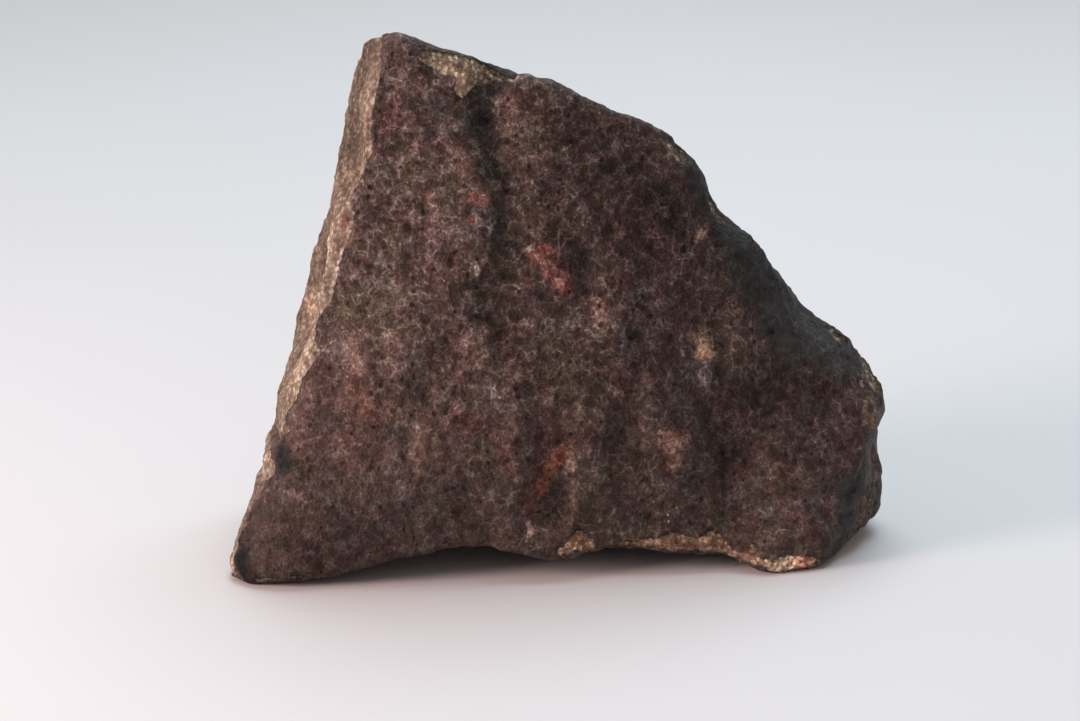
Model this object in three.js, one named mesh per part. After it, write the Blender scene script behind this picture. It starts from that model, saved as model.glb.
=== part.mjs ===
// A stony meteorite, an ordinary chondrite: one solid stone, broken off a larger one on landing.
//
// Millimetres, +Z up, -Y towards the viewer. The origin is at the middle of the bounding box's
// underside, on the surface that the stone stands on. The stone is a leaning wedge: a broad front
// face that leans back, a flat broken face on the left, and a rounded back that meets the front in a
// ridge at the top. It stands on small flat feet, with a shallow arch between them.
//
// The form is one function, field(), negative inside the stone. It is built up as the real stone
// was: flat facets first, then the hollows that melting left, then the chips that broke away. A
// ball of triangles around the stone's heart is shrunk onto it, so the mesh is always closed.

import * as THREE from 'three';
import { mergeVertices } from 'three/addons/utils/BufferGeometryUtils.js';
import { ImprovedNoise } from 'three/addons/math/ImprovedNoise.js';

// Driving dimensions
const MESH_DETAIL = 21; // the ball starts with 20 * (MESH_DETAIL + 1)^2 triangles
const HEART = new THREE.Vector3(0, 1, 31); // every point of the surface can be seen from here
const REACH = 110; // further from the heart than any point of the stone
const CRUST_EDGE = 3.2; // how broadly two melted facets round into each other
const BACK_EDGE = 7; // the same on the rounded back
const BROKEN_EDGE = 1; // the sharper edge where a facet broke after the melt had set
const UNDERSIDE = 2.2; // height of the underside above the feet
const FOOT_DEPTH = 3.4; // how far a foot would reach below the underside, before it is cut flat

const RELIEF = [
  { width: 12, depth: 0.8 }, // low swells all over the stone
  { width: 5.5, depth: 0.4 }, // the lumps on them
];
const BROKEN_RELIEF = { width: 7, depth: 1.3 }; // the rougher ground of a broken face

const THUMBPRINTS = {
  count: 24, // on the back and the top
  azimuths: [100, 235],
  elevations: [-18, 66],
  reach: 9,
  depth: 1.5,
};

const EVEN_ROUNDS = 60; // how often the mesh is evened out
const EDGE_ROUNDS = 4; // how often it is also drawn onto the stone's edges
const EVENNESS = 0.5; // the pull towards even triangles then, against 1 for true edges

const at = (x, y, z) => new THREE.Vector3(x, y, z);

// An outward direction: azimuth 0 faces the viewer and 90 faces right, elevation is above level.
function facing(azimuth, elevation) {
  const a = THREE.MathUtils.degToRad(azimuth);
  const e = THREE.MathUtils.degToRad(elevation);
  return at(Math.sin(a) * Math.cos(e), -Math.cos(a) * Math.cos(e), Math.sin(e));
}

// The facets, each a plane through a point, and how broadly it rounds into the ones before it.
const FACETS = [
  { name: 'front_left', through: at(-1.6, -31.1, 5), normal: facing(-2.5, 9), edge: CRUST_EDGE },
  { name: 'front_right', through: at(-1.6, -27.9, 5), normal: facing(11.5, 12.5), edge: CRUST_EDGE },
  { name: 'top_left', through: at(-17, -12, 86.8), normal: facing(127, 69), edge: CRUST_EDGE },
  { name: 'top_right', through: at(5, -10, 79.7), normal: facing(119.5, 68.5), edge: CRUST_EDGE },
  { name: 'shoulder', through: at(33, -14, 47.6), normal: facing(58.5, 32), edge: CRUST_EDGE },
  { name: 'end_upper', through: at(56.9, -8.5, 37.5), normal: facing(83.5, 33), edge: CRUST_EDGE },
  { name: 'end', through: at(55.8, 0, 20), normal: facing(91, 1.5), edge: CRUST_EDGE },
  { name: 'end_lower', through: at(47, -21.7, 0), normal: facing(69.5, -22), edge: CRUST_EDGE },
  { name: 'back_ridge', through: at(-5.4, 0.3, 79), normal: facing(169, 33.5), edge: BACK_EDGE },
  { name: 'back_shoulder', through: at(27, 9, 46.5), normal: facing(146, 32), edge: BACK_EDGE },
  { name: 'back', through: at(0, 27, 24), normal: facing(182, 8), edge: BACK_EDGE },
  { name: 'back_left', through: at(-43, 15.4, 22.3), normal: facing(-142, 9.5), edge: BACK_EDGE },
  { name: 'back_right', through: at(46, 16, 16), normal: facing(138, 4), edge: BACK_EDGE },
  { name: 'back_foot', through: at(0, 23, 5), normal: facing(178, -30), edge: BACK_EDGE },
  { name: 'underside', through: at(0, 0, UNDERSIDE), normal: facing(0, -90), edge: CRUST_EDGE },
  { name: 'broken_edge', through: at(-38.6, -23.6, 42.4), normal: facing(-56, 16), edge: BROKEN_EDGE },
  { name: 'broken_left', through: at(-45.1, -22.3, 32.5), normal: facing(-79, 18.5), edge: BROKEN_EDGE },
  { name: 'broken_foot', through: at(-50.2, -25.7, 12), normal: facing(-89.5, 14), edge: BROKEN_EDGE },
];

// The point of the front at a place to the right and a height, on the bare facets.
function front(x, z) {
  const depths = FACETS.filter(({ normal }) => normal.y < -0.3).map(({ through, normal }) => {
    const { x: right, z: up } = at(x, 0, z).sub(through).multiply(normal);
    return through.y - (right + up) / normal.y;
  });
  return at(x, Math.max(...depths), z);
}

// Soft hollows, each along a line from one point to another, with its reach and its depth.
const HOLLOWS = [
  // the groove that runs down the front from the chip at the top
  { from: front(-11, 81), to: front(-9, 68), reach: 6, depth: 2.1 },
  { from: front(-9, 66), to: front(-9, 52), reach: 6, depth: 1.3 },
  { from: front(-9, 47), to: front(-8, 38), reach: 6, depth: 1 },
  { from: front(-4, 35), to: front(-2, 24), reach: 6.5, depth: 1.4 },
  { from: front(1, 20), to: front(-3, 11), reach: 6, depth: 2.3 },
  // thumbprints of the front, right of the groove and then left of it
  { from: front(4, 72), to: front(7, 64), reach: 7, depth: 1.2 },
  { from: front(13, 67), to: front(18, 58), reach: 8, depth: 1.3 },
  { from: front(3, 53), to: front(5, 44), reach: 6, depth: 1.1 },
  { from: front(27, 28), to: front(26.5, 13), reach: 8, depth: 1.4 },
  { from: front(12, 22), to: front(11, 13), reach: 7, depth: 1 },
  { from: front(40, 31), to: front(46, 28), reach: 8, depth: 1.4 },
  { from: front(-19, 35), to: front(-15, 40), reach: 6, depth: 1 },
  { from: front(-24, 45), to: front(-20, 52), reach: 7, depth: 0.9 },
  { from: front(-30, 22), to: front(-26, 27), reach: 8, depth: 0.9 },
  { from: front(-15, 14), to: front(-12, 19), reach: 7, depth: 0.9 },
  { from: front(-22, 66), to: front(-20, 73), reach: 7, depth: 0.9 },
  // dips in the line of the top, of the shoulder and of the right end
  { from: at(6, -7, 78.5), to: at(11, -6.5, 76), reach: 6, depth: 1 },
  { from: at(24, -10, 61), to: at(27, -2, 60), reach: 6, depth: 0.8 },
  { from: at(29, -10, 57.5), to: at(31, 0, 57), reach: 7, depth: 1.2 },
  { from: at(36.5, -8, 50.5), to: at(37.5, 2, 48.5), reach: 6, depth: 1.3 },
  { from: at(42, -9, 43.5), to: at(44, 4, 43.5), reach: 9, depth: 2.8 },
  { from: at(50, -15, 9), to: at(55, -4, 11.5), reach: 9, depth: 2.6 },
  { from: at(54, -14, 17), to: at(56, -2, 18), reach: 6, depth: 2.3 },
  // a dip in the far edge of the broken face
  { from: at(-38.5, -2, 62), to: at(-38, 8, 61), reach: 8, depth: 1 },
  // the two arches between the feet
  { from: at(-15.5, -28, 0), to: at(-15, -6, 0), reach: 19, depth: 4.1 },
  { from: at(10, -27, 0), to: at(10.5, -6, 0), reach: 17, depth: 1.8 },
];

// Swellings, in the same form: the bulges of the front, the toe of the right foot, and the feet.
const SWELLINGS = [
  { from: front(38, 14), to: front(37, 12), reach: 11, depth: 1 },
  { from: front(7, 45), to: front(10, 38), reach: 7, depth: 0.7 },
  { from: front(18, 30), to: front(19, 24), reach: 8, depth: 0.8 },
  { from: front(-17, 60), to: front(-20, 44), reach: 9, depth: 0.8 },
  { from: front(34, 1), to: front(39, 1), reach: 10, depth: 0.8 },
  { from: at(-46, -20, 1), to: at(-45, -14, 1), reach: 16, depth: FOOT_DEPTH },
  { from: at(39, -19, 1), to: at(40, -10, 1), reach: 11.5, depth: FOOT_DEPTH },
  { from: at(-6, 13, 1), to: at(10, 14, 1), reach: 10, depth: FOOT_DEPTH },
];

// Chips that broke out of the edges and the broken face, each a scoop by a ball.
const CHIPS = [
  { on: at(-16, -14, 85.5), out: facing(-5, 48), radius: 9, depth: 1.7 }, // the top edge
  { on: at(-12, -14, 84), out: facing(5, 50), radius: 6, depth: 1.3 },
  { on: at(2, -28, 6), out: facing(0, -30), radius: 7, depth: 1.1 }, // the foot of the front
  { on: at(14, -25.5, 5), out: facing(8, -35), radius: 8, depth: 0.6 },
  { on: at(21, -24, 4), out: facing(10, -20), radius: 12, depth: 0.4 },
  { on: at(40, -22, 3), out: facing(20, 0), radius: 9, depth: 0.4 },
  { on: at(52.5, -13, 31), out: facing(50, 25), radius: 8, depth: 1 }, // the right end
  { on: at(53.5, -13, 26), out: facing(60, 10), radius: 8, depth: 1 },
  { on: at(-41, -2, 42), out: facing(-72, 20), radius: 26, depth: 2.4 }, // the broken face
  { on: at(-50, 0, 18), out: facing(-88, 14), radius: 18, depth: 1.8 },
  { on: at(-33, -8, 66), out: facing(-70, 20), radius: 14, depth: 1.2 },
];

// Where two surfaces meet, the larger value rules, and the edge between them is rounded.
function roundedMax(a, b, edge) {
  const share = Math.max(edge - Math.abs(a - b), 0) / edge;
  return Math.max(a, b) + (share * share * edge) / 4;
}

const noise = new ImprovedNoise();
const relief = ({ x, y, z }, { width, depth }) => depth * noise.noise(x / width, y / width, z / width);

// The stone as flat facets alone, with the broken ones rough.
function faceted(point) {
  const offset = new THREE.Vector3();
  let value = -REACH;
  for (const { through, normal, edge } of FACETS) {
    const rough = edge === BROKEN_EDGE ? relief(point, BROKEN_RELIEF) : 0;
    value = roundedMax(value, normal.dot(offset.subVectors(point, through)) + rough, edge);
  }
  return value;
}

// The point of a shape's surface that lies in a direction from the heart.
function surfacePoint(direction, shape) {
  const point = new THREE.Vector3();
  let inside = 0;
  let outside = REACH;
  for (let step = 0; step < 26; step++) {
    const middle = (inside + outside) / 2;
    point.copy(HEART).addScaledVector(direction, middle);
    if (shape(point) < 0) inside = middle;
    else outside = middle;
  }
  return point;
}

// The back's thumbprints are spread over it in steps of the golden ratio, so that none line up.
const GOLDEN = (Math.sqrt(5) - 1) / 2;
for (let i = 0; i < THUMBPRINTS.count; i++) {
  const azimuth = THREE.MathUtils.lerp(...THUMBPRINTS.azimuths, (i * GOLDEN) % 1);
  const elevation = THREE.MathUtils.lerp(...THUMBPRINTS.elevations, (i + 0.5) / THUMBPRINTS.count);
  const centre = surfacePoint(facing(azimuth, elevation), faceted);
  const size = 1 + 0.3 * Math.sin(i * i);
  HOLLOWS.push({
    from: centre,
    to: centre,
    reach: THUMBPRINTS.reach * size,
    depth: THUMBPRINTS.depth * size,
  });
}

const segment = new THREE.Line3();
const nearest = new THREE.Vector3();

// How deep a soft hollow or swelling is at a point: full on its line, and fading to its reach.
function softDepth(point, { from, to, reach, depth }) {
  segment.set(from, to).closestPointToPoint(point, true, nearest);
  const share = nearest.distanceTo(point) / reach;
  return share < 1 ? depth * (1 - share * share) ** 2 : 0;
}

function field(point) {
  let value = faceted(point);
  for (const swell of RELIEF) value += relief(point, swell);
  for (const hollow of HOLLOWS) value += softDepth(point, hollow);
  for (const swelling of SWELLINGS) value -= softDepth(point, swelling);
  for (const { on, out, radius, depth } of CHIPS) {
    nearest.copy(on).addScaledVector(out, radius - depth);
    value = roundedMax(value, radius - nearest.distanceTo(point), BROKEN_EDGE);
  }
  return Math.max(value, -point.z);
}

// The surface's outward direction at a point, from how the field grows around it.
function outward(point) {
  const step = 0.05;
  const slope = ['x', 'y', 'z'].map((axis) => {
    const ahead = point.clone();
    const behind = point.clone();
    ahead[axis] += step;
    behind[axis] -= step;
    return field(ahead) - field(behind);
  });
  return at(...slope).normalize();
}

// A ball of triangles with shared corners.
function ball() {
  const sphere = new THREE.IcosahedronGeometry(1, MESH_DETAIL);
  sphere.deleteAttribute('normal');
  sphere.deleteAttribute('uv');
  return mergeVertices(sphere);
}

function neighboursOf(geometry) {
  const neighbours = Array.from({ length: geometry.attributes.position.count }, () => new Set());
  const corners = geometry.index.array;
  for (let i = 0; i < corners.length; i += 3) {
    for (let k = 0; k < 3; k++) {
      neighbours[corners[i + k]].add(corners[i + ((k + 1) % 3)]);
      neighbours[corners[i + k]].add(corners[i + ((k + 2) % 3)]);
    }
  }
  return neighbours.map((set) => [...set]);
}

// The middle of a point's neighbours, where the ones furthest away count most.
function middleOf(point, around) {
  const middle = new THREE.Vector3();
  let total = 0;
  for (const other of around) {
    const distance = point.distanceTo(other);
    middle.addScaledVector(other, distance);
    total += distance;
  }
  return middle.divideScalar(total);
}

// Moves each point halfway to the middle of its neighbours, which evens the triangles out.
function evened(points, neighbours) {
  return points.map((point, i) => {
    const middle = middleOf(point, neighbours[i].map((j) => points[j]));
    return surfacePoint(middle.lerp(point, 0.5).sub(HEART).normalize(), field);
  });
}

// The same, but each point is drawn more strongly to where its own and its neighbours' tangent
// planes meet, which is on the edge wherever the stone has one.
function edged(points, neighbours) {
  const normals = points.map(outward);
  return points.map((point, i) => {
    const middle = middleOf(point, neighbours[i].map((j) => points[j])).lerp(point, 0.5);
    const pull = new THREE.Vector3();
    const planes = new THREE.Matrix3().identity().multiplyScalar(EVENNESS).toArray();
    for (const j of [i, ...neighbours[i]]) {
      const normal = normals[j].toArray();
      for (let k = 0; k < 9; k++) planes[k] += normal[k % 3] * normal[Math.floor(k / 3)];
      pull.addScaledVector(normals[j], normals[j].dot(points[j].clone().sub(middle)));
    }
    pull.applyMatrix3(new THREE.Matrix3().fromArray(planes).invert());
    return surfacePoint(middle.add(pull).sub(HEART).normalize(), field);
  });
}

function stoneGeometry() {
  const geometry = ball();
  const corners = geometry.attributes.position;
  const neighbours = neighboursOf(geometry);
  const directions = neighbours.map((_, i) => new THREE.Vector3().fromBufferAttribute(corners, i));
  let points = directions.map((direction) => surfacePoint(direction, field));
  for (let round = 0; round < EVEN_ROUNDS; round++) points = evened(points, neighbours);
  for (let round = 0; round < EDGE_ROUNDS; round++) points = edged(points, neighbours);
  points.forEach((p, i) => corners.setXYZ(i, p.x, p.y, Math.max(p.z, 0)));

  geometry.computeBoundingBox();
  const { min, max } = geometry.boundingBox;
  geometry.translate(-(min.x + max.x) / 2, -(min.y + max.y) / 2, -min.z);
  geometry.computeVertexNormals();
  return geometry;
}

const crust = new THREE.MeshStandardMaterial({ color: 0x4c3f3d, roughness: 0.62, metalness: 0 });
const stone = new THREE.Mesh(stoneGeometry(), crust);
stone.name = 'meteorite';

const meteorite = new THREE.Group();
meteorite.add(stone);

export default meteorite;
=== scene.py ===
# %% [markdown]
# # A chondrite meteorite
#
# A stony meteorite is a piece of an asteroid that fell through the air. The air melted its outside
# to a thin dark glassy skin, the fusion crust, which crazed as it cooled. Where the stone broke after
# that, its pale inside shows: a tan matrix packed with small round grains, the chondrules.
#
# The CAD part gives the stone's true form and size. This lesson dresses it: a finer surface with
# pits, lumps and the crust's broken edge, the grains on the broken faces, and one material that turns
# from crazed crust to bare stone along a ragged line. Everything is in metres, but the lesson's
# helpers count in millimetres, because a stone that fits a hand is easier to think about that way.

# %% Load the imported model
import math

import bmesh
import bpy
import numpy as np
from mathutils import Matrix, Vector


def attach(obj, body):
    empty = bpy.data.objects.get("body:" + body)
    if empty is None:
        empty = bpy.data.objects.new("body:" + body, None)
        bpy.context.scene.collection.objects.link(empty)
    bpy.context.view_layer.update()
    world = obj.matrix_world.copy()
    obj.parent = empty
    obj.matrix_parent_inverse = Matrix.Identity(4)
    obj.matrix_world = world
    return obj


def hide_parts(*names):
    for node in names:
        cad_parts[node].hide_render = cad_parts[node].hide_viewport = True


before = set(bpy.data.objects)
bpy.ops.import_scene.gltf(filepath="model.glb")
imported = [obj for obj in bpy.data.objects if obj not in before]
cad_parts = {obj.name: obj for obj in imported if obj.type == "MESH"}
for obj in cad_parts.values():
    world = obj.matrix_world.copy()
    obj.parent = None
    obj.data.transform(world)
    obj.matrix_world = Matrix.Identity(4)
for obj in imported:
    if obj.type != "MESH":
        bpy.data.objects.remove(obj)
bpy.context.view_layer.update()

MM = 0.001

# %% [markdown]
# ## The camera
#
# A small stone is looked at through a long lens from close by, a little from above. The lens is
# 100 mm on a 36 mm wide sensor, so the stone's lines stay nearly parallel and its form reads truly.

# %% Set the camera
CAMERA_LENS = 100
CAMERA_DISTANCE = 512 * MM
CAMERA_HEIGHT_ANGLE = math.radians(16)
LOOK_AT = Vector((-3.5, 1.6, 30.5)) * MM


def camera_looking_at(target, distance, elevation):
    camera = bpy.data.objects.new("camera", bpy.data.cameras.new("camera"))
    camera.data.lens = CAMERA_LENS
    camera.data.clip_start = 10 * MM
    camera.location = target + distance * Vector((0, -math.cos(elevation), math.sin(elevation)))
    camera.rotation_euler = (math.pi / 2 - elevation, 0, 0)
    bpy.context.scene.collection.objects.link(camera)
    return camera


bpy.context.scene.camera = camera_looking_at(LOOK_AT, CAMERA_DISTANCE, CAMERA_HEIGHT_ANGLE)
print("camera at, mm:", [round(v / MM) for v in bpy.context.scene.camera.location])

# %% [markdown]
# ## Small helpers for node trees
#
# Geometry Nodes shape the surface and shader nodes colour it, and both use the same noise. So both
# kinds of tree are built with the same few helpers. A feed is either a plain value or the output of
# another node. Sizes are in millimetres, so every tree starts from a place in millimetres.


# %% Write the helpers
def put(tree, kind, feeds=None, **settings):
    """Adds a node to the tree, with its settings and with what feeds each of its inputs."""
    node = tree.nodes.new(kind)
    for name, value in settings.items():
        setattr(node, name, value)
    for name, value in (feeds or {}).items():
        if isinstance(value, bpy.types.NodeSocket):
            tree.links.new(value, node.inputs[name])
        else:
            node.inputs[name].default_value = value
    return node


def maths(tree, operation, a, b=0.0, c=0.0):
    return put(tree, "ShaderNodeMath", {0: a, 1: b, 2: c}, operation=operation).outputs[0]


def vectors(tree, operation, *feeds, scale=None):
    """Sums on vectors. The last feed, a plain number, is given as the scale."""
    feeds = dict(enumerate(feeds))
    if scale is not None:
        feeds["Scale"] = scale
    return put(tree, "ShaderNodeVectorMath", feeds, operation=operation).outputs


def split(tree, vector):
    """The three numbers of a vector, or of a colour."""
    return put(tree, "ShaderNodeSeparateXYZ", {0: vector}).outputs


def blend(tree, share, a, b):
    """Goes from number a to number b as the share goes from 0 to 1."""
    return put(tree, "ShaderNodeMix", {0: share, 2: a, 3: b}).outputs[0]


def product(tree, *terms):
    product_so_far = terms[0]
    for term in terms[1:]:
        product_so_far = maths(tree, "MULTIPLY", product_so_far, term)
    return product_so_far


def total(tree, *terms):
    sum_so_far = terms[0]
    for term in terms[1:]:
        sum_so_far = maths(tree, "ADD", sum_so_far, term)
    return sum_so_far


def ramp(tree, value, low, high, start=0.0, end=1.0):
    """Goes smoothly from start to end as the value goes from low to high."""
    feeds = {"Value": value, "From Min": low, "From Max": high, "To Min": start, "To Max": end}
    return put(tree, "ShaderNodeMapRange", feeds, interpolation_type="SMOOTHSTEP").outputs[0]


def noise(tree, place, size, detail=2.0, roughness=0.5):
    """Soft noise around 0.5, with lumps about `size` millimetres wide."""
    feeds = {"Vector": place, "Scale": 1 / size, "Detail": detail, "Roughness": roughness}
    return put(tree, "ShaderNodeTexNoise", feeds).outputs["Fac"]


def wobble(tree, place, size, height, detail=2.0, roughness=0.5):
    """Noise around zero that swings about `height` either way."""
    swing = maths(tree, "SUBTRACT", noise(tree, place, size, detail, roughness), 0.5)
    return maths(tree, "MULTIPLY", swing, 4 * height)


def cells(tree, place, size, feature="F1"):
    feeds = {"Vector": place, "Scale": 1 / size}
    return put(tree, "ShaderNodeTexVoronoi", feeds, feature=feature)


def in_millimetres(tree, place):
    return vectors(tree, "SCALE", place, scale=1 / MM)[0]


def plain_mesh_of(source, name):
    """Turns an object's evaluated modifiers into a new object with a plain mesh."""
    bpy.context.view_layer.update()
    evaluated = source.evaluated_get(bpy.context.evaluated_depsgraph_get())
    mesh = bpy.data.meshes.new_from_object(evaluated)
    mesh.name = name
    made = bpy.data.objects.new(name, mesh)
    bpy.context.scene.collection.objects.link(made)
    print(name, "has", sum(len(p.vertices) - 2 for p in mesh.polygons), "triangles")
    return made


print("helpers ready")

# %% [markdown]
# ## A fine, even surface
#
# The CAD solid has flat triangles about 2 mm wide. The crust's pits and its broken edge are finer
# than that, so the surface needs many small and even faces. A copy of the solid is merged, rounded
# by subdivision, and then remeshed: the Remesh modifier lays faces of one size over it, however
# uneven the triangles below were. Sculptors start in the same way.

# %% Remesh a copy of the stone
FACE_SIZE = 0.57 * MM
MERGE_DISTANCE = 0.001 * MM
ROUNDING_LEVELS = 2


def even_surface(node, name, face_size):
    mesh = node.data.copy()
    merged = bmesh.new()
    merged.from_mesh(mesh)
    bmesh.ops.remove_doubles(merged, verts=merged.verts, dist=MERGE_DISTANCE)
    merged.to_mesh(mesh)
    merged.free()
    rough = bpy.data.objects.new(name + "_rough", mesh)
    bpy.context.scene.collection.objects.link(rough)
    rounding = rough.modifiers.new("rounding", "SUBSURF")
    rounding.levels = rounding.render_levels = ROUNDING_LEVELS
    remesh = rough.modifiers.new("remesh", "REMESH")
    remesh.mode = "VOXEL"
    remesh.voxel_size = face_size
    surface = plain_mesh_of(rough, name)
    bpy.data.objects.remove(rough)
    return surface


surface = even_surface(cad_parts["meteorite"], "stone_surface", FACE_SIZE)
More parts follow.
